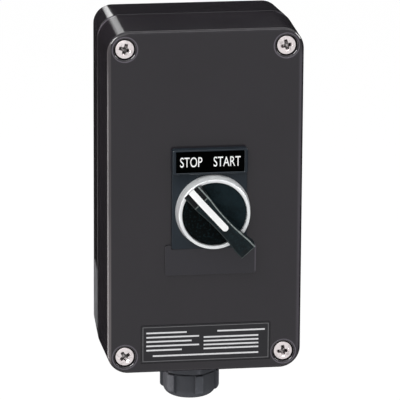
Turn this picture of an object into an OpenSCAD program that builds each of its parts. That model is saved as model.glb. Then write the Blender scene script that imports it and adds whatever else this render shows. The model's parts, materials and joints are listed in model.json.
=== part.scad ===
// Wall-mounted control station with a two-position selector switch and a cable gland.
// Millimetres. +Z is up, the front faces -Y, and the rear face lies on y = 0 with the
// origin at its centre. A depth is the distance forwards from the rear face.
// Node names are those of the record, and each has one module below.

/* [View] */
// Node to draw, or all of them

/* [Enclosure] */
// Width over the rims where base and lid meet
rim_w = 79; // [70:0.5:110]
// Height over the rims where base and lid meet
rim_h = 141; // [130:0.5:190]
// Depth of the base, from the wall to its rim
base_d = 25.8; // [24:0.2:36]
// Depth of the lid, from its rim to its face
lid_d = 28.4; // [26:0.2:40]
// Gap between the two rims, filled by the gasket
rim_gap = 0.8; // [0.5:0.1:1.5]
// Corner radius at the rims
corner_r = 9; // [8.5:0.5:12]
// Draft of the base on each side, over its depth
base_draft = 1.4; // [0.4:0.1:1.6]
// Draft of the lid on each side, over its depth
lid_draft = 0.5; // [0.2:0.1:0.8]
// Side wall of base and lid
wall = 2.5; // [2:0.1:3]
// Thickness of the lid's face
face_t = 3; // [2.5:0.1:4]
// Thickness of the base's rear wall
rear_t = 3; // [2.5:0.1:4]
// Rounding of the lid's front edge
edge_r = 1.5; // [0.8:0.1:2.2]
// Rounding of the base's rear edge
rear_edge_r = 0.8; // [0.4:0.1:1.2]
// How far the gasket stays behind the rims' outer edge
gasket_inset = 0.9; // [0.5:0.1:1.2]

/* [Lid screws] */
// Distance of each screw from the side of the lid's face
screw_side = 7; // [6.5:0.1:8]
// Distance of each screw from the face's top or bottom edge
screw_end = 7; // [6.5:0.1:8]
// Radius of the screw's thread
screw_r = 1.95; // [1.5:0.05:2.2]
// Length under the head
screw_l = 36; // [32:0.5:37]
// Radius of the head
screw_head_r = 3.8; // [3.2:0.1:4]
// Height of the head
screw_head_h = 2.4; // [1.8:0.1:2.8]
// Width of the cross recess
recess_w = 0.9; // [0.6:0.1:1.2]
// Span of the cross recess
recess_l = 4.6; // [3.5:0.1:5]
// Depth of the cross recess
recess_d = 1.5; // [1:0.1:1.7]
// Thickness of the sealing ring under the head
screw_seal_t = 0.8; // [0.5:0.1:1.2]
// How far the head lies below the lid's face
head_sink = 0.3; // [0.1:0.1:0.6]
// Radius of the counterbore
counterbore_r = 5; // [4.6:0.1:5.2]
// Radius of the column in the lid
lid_column_r = 6.2; // [5.8:0.1:6.4]
// Radius of the column in the base
base_column_r = 5; // [4:0.1:5.2]
// Spare depth of the bores in the base's columns past the screws' tips
thread_spare = 2.5; // [1:0.1:4]

/* [Wall fixing and earth] */
// Distance between the fixing holes across the wall
fix_x = 52; // [46:1:56]
// Distance between the fixing holes up the wall
fix_z = 100; // [90:1:106]
// Radius of the fixing holes
fix_r = 2.65; // [2:0.05:3]
// Radius of the pad round each fixing hole
fix_pad_r = 5.5; // [4.5:0.1:6]
// Height of the pad round each fixing hole
fix_pad_h = 2; // [1:0.1:3]
// Place of the earth screw across the base
earth_x = -21; // [-26:0.5:-17]
// Place of the earth screw up the base
earth_z = -36; // [-40:0.5:-30]
// Radius of the earth screw's boss
earth_boss_r = 4.5; // [4:0.1:5]
// Height of the earth screw's boss
earth_boss_h = 5; // [4:0.1:6]
// Radius of the earth screw's thread
earth_r = 1.95; // [1.5:0.05:2.2]
// Length of the earth screw under its head
earth_l = 5; // [4:0.1:6]
// Radius of the earth screw's head
earth_head_r = 3.4; // [3:0.1:3.8]
// Height of the earth screw's head
earth_head_h = 2.2; // [1.8:0.1:2.6]
// Radius of the cup washer
cup_r = 4.3; // [4:0.1:4.6]
// Thickness of the cup washer
cup_t = 0.9; // [0.6:0.1:1.2]

/* [Selector head] */
// Place of the selector across the lid
sel_x = 2.8; // [-1:0.1:3]
// Place of the selector up the lid
sel_z = -3; // [-8:0.2:0]
// Radius of the hole in the lid
hole_r = 11.25; // [11.15:0.05:11.5]
// Outer radius of the head's threaded barrel
barrel_r = 11; // [10.8:0.05:11.1]
// Radius of the head's flange
flange_r = 14.4; // [14:0.1:14.6]
// Thickness of the head's flange
flange_t = 1.6; // [1.2:0.1:2]
// Thickness of the gasket under the flange
head_gasket_t = 0.6; // [0.4:0.1:1]
// Radius of the bezel at its foot
bezel_foot_r = 15; // [14.8:0.1:15.4]
// Radius of the bezel at its front
bezel_front_r = 14.2; // [13.8:0.1:14.6]
// Bore of the bezel
bezel_bore_r = 12.85; // [12.4:0.05:13.2]
// Height of the bezel
bezel_h = 5.3; // [4.5:0.1:6]
// Chamfer on the bezel's edges
bezel_chamfer = 0.25; // [0.1:0.05:0.4]
// Thickness of the turning disc
disc_t = 2; // [1.6:0.1:2.2]
// Radius of the hub's bore in the barrel
hub_bore_r = 8; // [7.5:0.1:8.4]
// Radial clearance of the hub in its bore
hub_gap = 0.05; // [0.03:0.01:0.08]
// Depth of the lid's face from the barrel's inner shoulder
shoulder_d = 8; // [7:0.1:9]
// Length of the barrel behind the lid's face
barrel_l = 15; // [14.6:0.1:16]
// Bore of the barrel round the cam
cam_bore_r = 9.6; // [9.4:0.05:9.8]
// Radius of the seal's section in the hub
seal_w = 1.05; // [0.8:0.05:1.2]
// Radius of the handle's peg
peg_r = 2.7; // [2.5:0.1:3.4]
// Length of the handle's peg
peg_l = 6; // [5:0.1:6.5]

/* [Handle] */
// Angle of the pointer left of straight up at STOP, degrees
stop_angle = 42; // [40:1:50]
// Throw from STOP to START, degrees
throw = 90; // [60:5:90]
// Reach of the pointer's end from the axis
pointer_reach = 15.8; // [15.4:0.1:18]
// Reach of the grip's end from the axis
grip_reach = 18.6; // [16:0.1:22]
// Height of the handle over the disc
handle_h = 10; // [8:0.1:14]
// Width of the handle along its top
handle_top_w = 7; // [6:0.1:8]
// Width of the handle at its foot
handle_foot_w = 8.8; // [7.5:0.1:10]
// Length of the sloped part at the pointer's end
nose_l = 6; // [4:0.1:8]
// Drop of the sloped part at the pointer's end
nose_drop = 1.6; // [1:0.1:4]
// How far the pointer's end face leans back towards its foot
nose_undercut = 3; // [0:0.1:3.4]
// Width of the handle at its waist, between the two hollow sides
waist_w = 5.6; // [5.5:0.1:7]
// Radius of the handle's hollow sides
waist_r = 90; // [60:1:200]
// Distance of the waist from the axis, towards the grip
waist_back = 3; // [0:0.1:6]
// Length of the sloped part at the grip's end
tail_l = 2.6; // [1:0.1:4]
// Drop of the sloped part at the grip's end
tail_drop = 1.2; // [0.5:0.1:2]
// Gap of the overhanging ends to the bezel's front
overhang_gap = 0.4; // [0.3:0.05:0.8]
// Width of the white marker
marker_w = 2.6; // [2:0.1:3.2]
// Length of the white marker
marker_l = 21.3; // [18:0.1:26]
// Thickness of the white marker
marker_t = 0.8; // [0.5:0.05:1.2]

/* [Legend and plates] */
// Width of the legend holder
holder_w = 30; // [29:0.2:32]
// Height of the legend holder
holder_h = 41; // [39:0.2:44]
// Distance of the selector's axis from the holder's lower edge
holder_below = 15.4; // [14:0.1:16]
// Distance of the holder's middle to the left of the selector's axis
holder_left = 1.3; // [0:0.1:1.4]
// Thickness of the holder's plate round the selector
holder_t = 1.6; // [1.2:0.1:2]
// Thickness of the holder's frame round the legend
frame_t = 3.4; // [2.6:0.1:4]
// Gap between the bezel's foot and the frame round the legend
frame_gap = 0.5; // [0.05:0.05:1]
// Width of the legend insert
insert_w = 27.2; // [26:0.1:28]
// Border of that frame above and below the insert
insert_border = 0.8; // [0.6:0.1:1.2]
// Thickness of the legend insert
insert_t = 1; // [0.8:0.1:1.4]
// Depth of the insert's front below the frame's front
insert_sink = 0.4; // [0.2:0.1:0.8]
// Width of the plain plate below the holder
lower_w = 36.5; // [34:0.1:38]
// Height of the plain plate below the holder
lower_h = 12.4; // [10:0.1:14]
// Overlap in height of that plate and the holder
lower_lap = 1.4; // [1:0.1:2]
// Distance of the plain plate's middle to the right of the holder's
lower_right = 0.7; // [0:0.1:1.5]
// Thickness of the plain plate below the holder
lower_t = 1; // [0.8:0.1:1.4]
// Width of the nameplate
name_w = 52; // [46:0.2:52.4]
// Height of the nameplate
name_h = 15.6; // [12:0.2:17]
// Thickness of the nameplate
name_t = 0.6; // [0.5:0.05:0.8]
// How far the nameplate is let into the lid
name_sink = 0.4; // [0.3:0.05:0.5]
// Place of the nameplate across the lid
name_x = 0.5; // [0:0.1:0.5]
// Distance of the nameplate's centre below the lid's centre
name_below = 58; // [52:0.2:59]
// Height of the foil label on the base's left side
foil_h = 24; // [18:0.5:26]
// Depth of the foil label on the base's left side
foil_d = 18; // [12:0.5:20]
// Thickness of the foil label
foil_t = 0.2; // [0.1:0.05:0.4]
// Distance of the foil label's centre below the base's centre
foil_below = 48.8; // [44:0.2:49]

/* [Fixing collar and contact blocks] */
// Width of the fixing collar
collar_w = 30; // [28:0.2:32]
// Height of the fixing collar
collar_h = 50; // [48:0.2:54]
// Corner radius of the collar
collar_corner_r = 2; // [1:0.1:3]
// Distance of the clamp screws from the axis
clamp_z = 22.2; // [21.8:0.1:22.4]
// Radius of the clamp screws
clamp_r = 1.45; // [1.2:0.05:1.6]
// Radius of the clamp screws' heads
clamp_head_r = 2.2; // [2:0.05:2.4]
// Height of the clamp screws' heads
clamp_head_h = 1.8; // [1.4:0.1:2.2]
// Width of a contact block
block_w = 12.6; // [12:0.1:12.8]
// Height of a contact block
block_h = 40; // [38:0.2:42]
// Depth of a contact block's housing
block_d = 26.5; // [24:0.1:28]
// Thickness of the block's cover
cover_t = 2; // [1.6:0.1:2.4]
// Distance of a plunger from the selector's axis
plunger_x = 6.5; // [6.45:0.05:6.6]
// Travel of the plungers over the throw
plunger_travel = 3; // [2:0.1:3]
// Radius of the plunger's stem and round tip
stem_r = 1.8; // [1.4:0.05:2]
// Radius of the plunger's shoulder
plunger_shoulder_r = 3.3; // [2.8:0.1:3.5]
// Thickness of the plunger's shoulder
plunger_shoulder_t = 3; // [2:0.1:3.2]
// Radius of the plunger's lower stem
tail_r = 1.5; // [1.2:0.05:1.6]
// Length of the plunger's lower stem
plunger_tail_l = 6; // [4:0.1:7]
// Width of the moving bridge contact
bridge_w = 4; // [3:0.1:5]
// Length of the moving bridge contact
bridge_l = 18; // [16:0.1:20]
// Thickness of bridge and fixed contact strips
strip_t = 0.8; // [0.6:0.1:1]
// Radius of the contact tips
tip_r = 1.5; // [1.2:0.1:1.8]
// Thickness of the contact tips
tip_t = 0.5; // [0.3:0.1:0.8]
// Width of the block's chamber
chamber_w = 8.4; // [7.5:0.1:9]
// Height of the block's chamber
chamber_h = 24; // [22:0.2:26]
// Height of the spring's well
well_h = 8; // [7:0.1:9]
// Depth of the spring's well below the fixed contacts
well_d = 8.4; // [7:0.1:10]
// Outer radius of the contact spring
spring_r = 2.9; // [2.5:0.1:3.2]
// Inner radius of the contact spring
spring_in_r = 1.8; // [1.7:0.05:2]
// Distance of the terminal screws from the block's middle
terminal_z = 16; // [15.4:0.1:16.6]
// Radius of the terminal screws
terminal_r = 1.45; // [1.2:0.05:1.6]
// Radius of the terminal screws' heads
terminal_head_r = 2.6; // [2.2:0.1:2.8]
// Height of the terminal screws' heads
terminal_head_h = 2.2; // [1.8:0.1:2.6]
// Depth of the recess behind the terminal screws
terminal_recess = 5.5; // [4:0.1:7]

/* [Cable gland] */
// Distance of the gland's axis from the wall
gland_d = 13.5; // [13.3:0.1:14]
// Radius of the gland's thread
gland_r = 7.9; // [7:0.1:8]
// Radius of the round pad under the base
pad_r = 12.2; // [11.8:0.1:12.4]
// How far the pad stands out below the rim
pad_out = 0.4; // [0.2:0.1:1]
// Thickness of the gland's sealing washer
washer_t = 1.5; // [1:0.1:2]
// Radius over the corners of the gland's hexagons
hex_r = 12.4; // [11.5:0.1:12.6]
// Height of the gland body's hexagon
collar_hex_h = 9.5; // [6:0.1:11]
// Length of the thread above the washer
gland_thread_l = 12; // [10:0.1:13]
// Height of the locknut
locknut_h = 4; // [3:0.1:5]
// Radius over the corners of the locknut
locknut_r = 11.4; // [10.5:0.1:11.8]
// Bore of the gland's body
gland_bore_r = 5.8; // [5:0.1:6]
// Turn of the gland's hexagons about its axis, degrees
hex_turn = 42; // [0:1:60]
// Height of the dome nut
dome_h = 10.5; // [7:0.1:12]
// Radius of the dome nut's lower edge rounding
dome_r = 4.6; // [3:0.1:5]
// Radius of the dome nut's mouth
mouth_r = 6.2; // [5.4:0.1:6.6]
// Radius of the spigot inside the dome nut
spigot_r = 9; // [8.4:0.1:9.4]
// Wall of the spigot round the seal
spigot_wall = 1.2; // [1:0.1:1.6]
// Radius of the seal's hole for the cable
cable_r = 4.5; // [3.5:0.1:5]
// Length of the seal
seal_l = 9; // [7:0.1:10]

/* [Hidden] */
// Overrun of every cut past the face it opens
over = 0.5;
// Thickness of the slabs that a hull joins
slab = 0.01;
// Small clearance between fitted pieces of one body
fit = 0.05;
// Loose clearance between fitted pieces of one body
loose = 0.15;
// Running gap between moving pieces
gap = 0.2;
// Steps of a rounded edge, and sides of a rounded corner of a shell
edge_steps = 4;
corner_fn = 48;
waist_fn = 360;
// Sides of the true circles
$fn = 96;

// Depths of the enclosure
lid_f0 = base_d + rim_gap;
face_f = lid_f0 + lid_d;
face_w = rim_w - 2*lid_draft;
face_h = rim_h - 2*lid_draft;
screw_x = face_w/2 - screw_side;
screw_z = face_h/2 - screw_end;
screw_head_f = face_f - head_sink - screw_head_h;
screw_seat_f = screw_head_f - screw_seal_t;
screw_tip_f = screw_head_f - screw_l;
screw_hole_r = screw_r + fit;
lid_bore_r = screw_r + gap;
earth_top_f = rear_t + earth_boss_h;

// Depths of the legend and the selector head
holder_f = face_f + holder_t;
flange_f0 = holder_f + head_gasket_t;
flange_f1 = flange_f0 + flange_t;
bezel_f0 = holder_f + fit;
bezel_f1 = bezel_f0 + bezel_h;
bezel_step_f = flange_f1;
disc_f0 = flange_f1 + gap;
disc_f1 = disc_f0 + disc_t;
disc_r = bezel_bore_r - loose;
hub_r = hub_bore_r - hub_gap;
shoulder_f = face_f - shoulder_d;
barrel_f0 = face_f - barrel_l;
hub_f0 = shoulder_f - gap;
cam_r = cam_bore_r - 1.5*gap;
holder_x = sel_x - holder_left;
holder_z0 = sel_z - holder_below;
holder_z1 = holder_z0 + holder_h;
frame_h = holder_z1 - (sel_z + bezel_foot_r + frame_gap);
insert_h = frame_h - 2*insert_border;
lower_z1 = holder_z0 + lower_lap;

// The seal's groove and the detent in the hub
seal_f = face_f + peg_l/6;
detent_f = (shoulder_f + face_f)/2 - peg_l/4;
ball_r = 0.19*hub_bore_r;
ball_out = 0.3*ball_r;
detent_cut = ball_out + fit;
detent_seat = ball_out + 4*fit;
ball_c = hub_bore_r + ball_out - ball_r;
ball_spring_l = ball_r;
spring_pocket_r = ball_r + fit;

// The handle
handle_f1 = disc_f1 + handle_h;
overhang_f = bezel_f1 + overhang_gap;
foot_s = sqrt(pow(bezel_bore_r - 4*loose, 2) - pow(handle_foot_w/2, 2));

// The tilted cam: its face falls and rises by the plungers' travel
cam_angle = 90 + throw/2;
cam_rise = plunger_travel/(2*sin(throw/2));
cam_tilt = atan(cam_rise/plunger_x);
cover_f1 = barrel_f0 - 7.5*gap;
cam_f = cover_f1 + cam_r*tan(cam_tilt) + 2*gap;
collar_f1 = face_f - face_t;
cam_screw_r = 0.75*tail_r + gap;
cam_screw_head_r = 2*cam_screw_r;

// The contact blocks, from their cover's front backwards
cover_f0 = cover_f1 - cover_t;
block_f0 = cover_f0 - block_d;
ball_tip_f = cam_f + plunger_travel/2 - 1.5*gap - stem_r/cos(cam_tilt);
plunger_top_f = cover_f0 - gap;
plunger_low_f = plunger_top_f - plunger_shoulder_t;
bridge_f0 = plunger_low_f - strip_t;
bridge_tip_f = bridge_f0 - tip_t;
fixed_tip_f = bridge_tip_f - plunger_travel - 2*fit;
fixed_f1 = fixed_tip_f - tip_t;
fixed_f0 = fixed_f1 - strip_t;
well_f0 = fixed_f0 - well_d;
tip_z = bridge_l/2 - tip_r - gap;
terminal_seat_f = block_f0 + terminal_recess;

// The gland, from the pad downwards
pad_z = -rim_h/2 - pad_out;
hex_z1 = pad_z - washer_t;
hex_z0 = hex_z1 - collar_hex_h;
dome_z1 = hex_z0 - 1.5*gap;
dome_z0 = dome_z1 - dome_h;
pad_top_z = -rim_h/2 + wall + base_draft;
spigot_z0 = dome_z0 + dome_r/2 + 2*gap;
gland_top_z = hex_z1 + gland_thread_l;
seal_z0 = spigot_z0 + gap;
seal_r = spigot_r - spigot_wall;

// Colours
c_body = [0.22, 0.21, 0.22];
c_black = [0.06, 0.06, 0.07];
c_holder = [0.25, 0.27, 0.31];
c_rubber = [0.1, 0.1, 0.1];
c_steel = [0.75, 0.75, 0.74];
c_chrome = [0.8, 0.8, 0.8];
c_brass = [0.8, 0.62, 0.3];
c_white = [0.93, 0.93, 0.92];
c_grey = [0.55, 0.56, 0.57];

// Helpers

// Turns a drawing in x and y, with its height along z, to stand up and face forwards.
module facing(f = 0) {
    translate([0, -f, 0]) rotate([90, 0, 0]) children();
}

module at_selector() {
    translate([sel_x, 0, sel_z]) children();
}

module round_plate(w, h, r) {
    square([w - 2*r, h], center = true);
    square([w, h - 2*r], center = true);
    for (x = [-1, 1], y = [-1, 1])
        translate([x*(w/2 - r), y*(h/2 - r)]) circle(r = r);
}

module tube(r_out, r_in, h) {
    linear_extrude(h) difference() {
        circle(r = r_out);
        circle(r = r_in);
    }
}

// The corners of one slab of a shell, drawn in from the rims' outline. A hull joins them.
module shell_slab(f, inset) {
    facing(f) linear_extrude(slab)
        for (x = [-1, 1], y = [-1, 1])
            translate([x*(rim_w/2 - corner_r), y*(rim_h/2 - corner_r)])
                circle(r = corner_r - inset, $fn = corner_fn);
}

// A drafted shell from its rim to its closed end, whose edge is rounded by r.
module shell(f_rim, f_end, draft, r, inset) {
    toward = f_end > f_rim ? 1 : -1;
    hull() {
        shell_slab(f_rim - (toward > 0 ? 0 : slab), inset);
        for (i = [0:edge_steps]) {
            a = 90*i/edge_steps;
            shell_slab(f_end - toward*r*(1 - sin(a)) - (toward > 0 ? slab : 0),
                inset + draft + r*(1 - cos(a)));
        }
    }
}

module at_lid_screws() {
    for (x = [-1, 1], z = [-1, 1]) translate([x*screw_x, 0, z*screw_z]) children();
}

// A screw's head and shank along z, with a cross recess in the head's top.
module cross_screw(r, l, head_r, head_h, cross_w, cross_l, cross_d) {
    difference() {
        union() {
            translate([0, 0, -l]) cylinder(r = r, h = l + head_h/2);
            rotate_extrude() polygon([
                [0, 0], [head_r, 0], [head_r, head_h*3/5],
                [head_r - head_h/6, head_h*9/10], [head_r - head_h/2, head_h], [0, head_h]]);
        }
        for (a = [0, 90]) rotate([0, 0, a])
            translate([-cross_l/2, -cross_w/2, head_h - cross_d])
                cube([cross_l, cross_w, cross_d + over]);
    }
}

// Enclosure

module base() color(c_body) difference() {
    union() {
        difference() {
            shell(base_d, 0, base_draft, rear_edge_r, 0);
            hull() {
                shell_slab(base_d, wall);
                shell_slab(base_d + over, wall);
                shell_slab(rear_t, wall + base_draft);
            }
        }
        at_lid_screws() facing(rear_t - over) cylinder(r = base_column_r, h = base_d - rear_t + over);
        for (x = [-1, 1], z = [-1, 1]) translate([x*fix_x/2, 0, z*fix_z/2])
            facing(rear_t - over) cylinder(r = fix_pad_r, h = fix_pad_h + over);
        translate([earth_x, 0, earth_z])
            facing(rear_t - over) cylinder(r = earth_boss_r, h = earth_boss_h + over);
        translate([0, -gland_d, pad_z]) cylinder(r = pad_r, h = pad_top_z - pad_z);
    }
    at_lid_screws() facing(screw_tip_f - thread_spare)
        cylinder(r = screw_hole_r, h = base_d - screw_tip_f + thread_spare + over);
    for (x = [-1, 1], z = [-1, 1]) translate([x*fix_x/2, 0, z*fix_z/2])
        facing(-over) cylinder(r = fix_r, h = rear_t + fix_pad_h + 2*over);
    translate([earth_x, 0, earth_z])
        facing(earth_top_f - earth_l) cylinder(r = earth_r + fit, h = earth_l + over);
    translate([0, -gland_d, pad_z - over]) cylinder(r = gland_r + loose, h = pad_top_z - pad_z + 2*over);
}

module lid() color(c_body) difference() {
    union() {
        difference() {
            shell(lid_f0, face_f, lid_draft, edge_r, 0);
            hull() {
                shell_slab(lid_f0 - over, wall);
                shell_slab(lid_f0, wall);
                shell_slab(face_f - face_t - slab, wall + lid_draft);
            }
        }
        at_lid_screws() facing(lid_f0) cylinder(r = lid_column_r, h = lid_d - face_t + over);
    }
    at_lid_screws() {
        facing(lid_f0 - over) cylinder(r = lid_bore_r, h = lid_d + 2*over);
        facing(screw_seat_f) cylinder(r = counterbore_r, h = face_f - screw_seat_f + over);
    }
    at_selector() facing(face_f - face_t - over) cylinder(r = hole_r, h = face_t + 2*over);
    translate([name_x, 0, -name_below]) facing(face_f - name_sink)
        linear_extrude(name_sink + over) square([name_w + 2*loose, name_h + 2*loose], center = true);
}

module lid_gasket() color(c_rubber) facing(base_d) linear_extrude(rim_gap) difference() {
    round_plate(rim_w - 2*gasket_inset, rim_h - 2*gasket_inset, corner_r - gasket_inset);
    round_plate(rim_w - 2*wall, rim_h - 2*wall, corner_r - wall);
}

module lid_screws() color(c_steel) at_lid_screws() facing(screw_head_f)
    cross_screw(screw_r, screw_l, screw_head_r, screw_head_h, recess_w, recess_l, recess_d);

module lid_screw_seals() color(c_rubber) at_lid_screws() facing(screw_seat_f)
    tube(counterbore_r - 2*gap, screw_r + fit, screw_seal_t);

module earth_screw() color(c_brass) translate([earth_x, 0, earth_z]) facing(earth_top_f + cup_t)
    cross_screw(earth_r, earth_l, earth_head_r, earth_head_h, recess_w, recess_l, recess_d);

module earth_cup_washer() color(c_brass) translate([earth_x, 0, earth_z]) facing(earth_top_f)
    tube(cup_r, earth_r + fit, cup_t);

module foil_label() color(c_steel)
    translate([-rim_w/2, -base_d, -foil_below]) rotate([0, 0, -atan(base_draft/base_d)])
        translate([-foil_t, (base_d - foil_d)/2, -foil_h/2]) cube([foil_t, foil_d, foil_h]);

// Legend and plates

module legend_holder() color(c_holder) translate([holder_x, 0, 0]) difference() {
    union() {
        translate([0, 0, (holder_z0 + holder_z1)/2]) facing(face_f)
            linear_extrude(holder_t) round_plate(holder_w, holder_h, holder_t/2);
        translate([0, 0, holder_z1 - frame_h/2]) facing(face_f)
            linear_extrude(frame_t) round_plate(holder_w, frame_h, holder_t/2);
    }
    translate([holder_left, 0, sel_z]) facing(face_f - over)
        cylinder(r = hole_r, h = holder_t + 2*over);
    translate([0, 0, holder_z1 - frame_h/2]) facing(face_f + frame_t - insert_sink - insert_t)
        linear_extrude(insert_t + insert_sink + over)
            square([insert_w + 2*fit, insert_h + 2*fit], center = true);
}

module legend_insert() color(c_black) translate([holder_x, 0, holder_z1 - frame_h/2])
    facing(face_f + frame_t - insert_sink - insert_t)
        linear_extrude(insert_t) square([insert_w, insert_h], center = true);

module lower_plate() color(c_body) translate([holder_x + lower_right, 0, lower_z1 - lower_h/2])
    facing(face_f) linear_extrude(lower_t) difference() {
        round_plate(lower_w, lower_h, lower_t);
        translate([-lower_right, lower_h/2])
            square([holder_w + 2*loose, 2*lower_lap + 2*loose], center = true);
    }

module nameplate() color(c_black) translate([name_x, 0, -name_below]) facing(face_f - name_sink)
    linear_extrude(name_t) square([name_w, name_h], center = true);

// Selector head, fixed to the lid

module head_gasket() color(c_rubber) at_selector() facing(holder_f)
    tube(flange_r - gap, hole_r, head_gasket_t);

module head_body() color(c_grey) at_selector() facing() difference() {
    rotate_extrude() polygon([
        [hub_bore_r, flange_f1], [flange_r, flange_f1], [flange_r, flange_f0],
        [barrel_r, flange_f0], [barrel_r, barrel_f0], [cam_bore_r, barrel_f0],
        [cam_bore_r, shoulder_f], [hub_bore_r, shoulder_f]]);
    rotate([0, 0, cam_angle - throw]) rotate_extrude(angle = throw) translate([hub_bore_r - over, detent_f - ball_r])
        square([over + detent_cut, 2*ball_r]);
    for (a = [cam_angle - throw, cam_angle]) translate([0, 0, detent_f]) rotate([0, 90, a])
        cylinder(r = ball_r + fit, h = hub_bore_r + detent_seat);
}

module bezel_ring() color(c_chrome) at_selector() facing() rotate_extrude() polygon([
    [flange_r + fit, bezel_f0], [bezel_foot_r, bezel_f0],
    [bezel_foot_r, bezel_f0 + bezel_chamfer], [bezel_front_r, bezel_f1 - bezel_chamfer],
    [bezel_front_r - bezel_chamfer, bezel_f1], [bezel_bore_r + bezel_chamfer, bezel_f1],
    [bezel_bore_r, bezel_f1 - bezel_chamfer], [bezel_bore_r, bezel_step_f],
    [flange_r + fit, bezel_step_f]]);

module at_clamp_screws() {
    for (z = [-1, 1]) translate([sel_x, 0, sel_z + z*clamp_z]) children();
}

module fixing_collar() color(c_grey) difference() {
    at_selector() facing(cover_f1) linear_extrude(collar_f1 - cover_f1) difference() {
        round_plate(collar_w, collar_h, collar_corner_r);
        circle(r = barrel_r + fit);
    }
    at_clamp_screws() {
        facing(cover_f1 - over) cylinder(r = clamp_r + fit, h = collar_f1 - cover_f1 + 2*over);
        facing(cover_f1 - over) cylinder(r = clamp_head_r + fit, h = clamp_head_h + fit + over);
    }
}

module clamp_screws() color(c_steel) at_clamp_screws() {
    facing(cover_f1) cylinder(r = clamp_head_r, h = clamp_head_h);
    facing(cover_f1) cylinder(r = clamp_r, h = collar_f1 - cover_f1);
}

// Turning parts

module turning_disc() color(c_black) at_selector() facing() difference() {
    rotate_extrude() polygon([
        [0, hub_f0], [hub_r, hub_f0],
        [hub_r, seal_f - seal_w/2 - fit], [hub_r - seal_w, seal_f - seal_w/2 - fit],
        [hub_r - seal_w, seal_f + seal_w/2 + fit], [hub_r, seal_f + seal_w/2 + fit],
        [hub_r, disc_f0], [disc_r, disc_f0], [disc_r, disc_f1], [0, disc_f1]]);
    translate([0, 0, disc_f1 - peg_l - gap]) cylinder(r = peg_r + fit, h = peg_l + gap + over);
    translate([0, 0, hub_f0 - over]) cylinder(r = cam_screw_r + fit, h = peg_l + over);
    translate([0, 0, detent_f]) rotate([0, 90, cam_angle]) translate([0, 0, ball_c - ball_r - ball_spring_l])
        cylinder(r = spring_pocket_r, h = hub_r);
}

module disc_seal() color(c_rubber) at_selector() facing(seal_f - seal_w/2)
    tube(hub_r + hub_gap/2, hub_r - seal_w, seal_w);

module detent_ball() color(c_steel) at_selector() facing(detent_f) rotate([0, 0, cam_angle])
    translate([ball_c, 0, 0]) sphere(r = ball_r);

module detent_spring() color(c_steel) at_selector() facing(detent_f) rotate([0, 90, cam_angle])
    translate([0, 0, ball_c - ball_r - ball_spring_l]) tube(ball_r - fit, ball_r/2, ball_spring_l);

// The handle's side outline: x runs from grip to pointer, y is the depth.
module handle_side() {
    polygon([
        [-grip_reach, overhang_f], [-foot_s, overhang_f], [-foot_s, disc_f1],
        [foot_s, disc_f1], [foot_s, overhang_f], [pointer_reach - nose_undercut, overhang_f],
        [pointer_reach, handle_f1 - nose_drop], [pointer_reach - nose_l, handle_f1],
        [tail_l - grip_reach, handle_f1], [-grip_reach, handle_f1 - tail_drop]]);
}

module across(w) {
    rotate([90, 0, 90]) translate([0, 0, -w/2]) linear_extrude(w) children();
}

// The marker's slot seen from the front, widened all round by grow.
module marker_slot(grow) {
    translate([-marker_w/2 - grow, pointer_reach - marker_l + marker_w/2])
        square([marker_w + 2*grow, marker_l - marker_w/2 + over]);
    translate([0, pointer_reach - marker_l + marker_w/2]) circle(r = marker_w/2 + grow);
}

module marker_body(t, grow) {
    intersection() {
        across(handle_foot_w) difference() {
            handle_side();
            translate([0, -t]) handle_side();
        }
        translate([0, 0, overhang_f + t]) linear_extrude(handle_h) marker_slot(grow);
    }
}

module at_handle() {
    at_selector() facing() rotate([0, 0, stop_angle]) children();
}

module selector_handle() color(c_black) at_handle() {
    difference() {
        intersection() {
            across(2*handle_foot_w) handle_side();
            translate([0, pointer_reach, 0]) rotate([90, 0, 0])
                linear_extrude(pointer_reach + grip_reach) polygon([
                    [-handle_foot_w/2, disc_f1], [handle_foot_w/2, disc_f1],
                    [handle_top_w/2, handle_f1], [-handle_top_w/2, handle_f1]]);
        }
        marker_body(marker_t + fit, fit);
        for (side = [-1, 1]) translate([side*(waist_w/2 + waist_r), -waist_back, disc_f1 - over])
            cylinder(r = waist_r, h = handle_h + 2*over, $fn = waist_fn);
    }
    translate([0, 0, disc_f1 - peg_l]) cylinder(r = peg_r, h = peg_l + over);
}

module handle_marker() color(c_white) at_handle() marker_body(marker_t, 0);

module selector_cam() color(c_white) at_selector() facing() difference() {
    translate([0, 0, cover_f1]) cylinder(r = cam_r, h = hub_f0 - cover_f1);
    translate([0, 0, cam_f]) rotate([0, cam_tilt, cam_angle])
        translate([-2*cam_r, -2*cam_r, -4*cam_r]) cube(4*cam_r);
    translate([0, 0, cover_f1 - over]) cylinder(r = cam_screw_r + fit, h = hub_f0 - cover_f1 + 2*over);
    translate([0, 0, cover_f1 - over]) cylinder(r = cam_screw_head_r + gap, h = cam_f - cover_f1 + over + tail_r);
}

module cam_screw() color(c_steel) at_selector() facing() {
    translate([0, 0, cam_f]) cylinder(r = cam_screw_head_r, h = tail_r);
    translate([0, 0, cam_f]) cylinder(r = cam_screw_r, h = hub_f0 - cam_f + peg_l - over);
}

// Contact blocks, side = -1 left or 1 right

module at_block(side) {
    translate([sel_x + side*plunger_x, 0, sel_z]) children();
}

module at_terminals() {
    for (z = [-1, 1]) translate([0, 0, z*terminal_z]) children();
}

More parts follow.
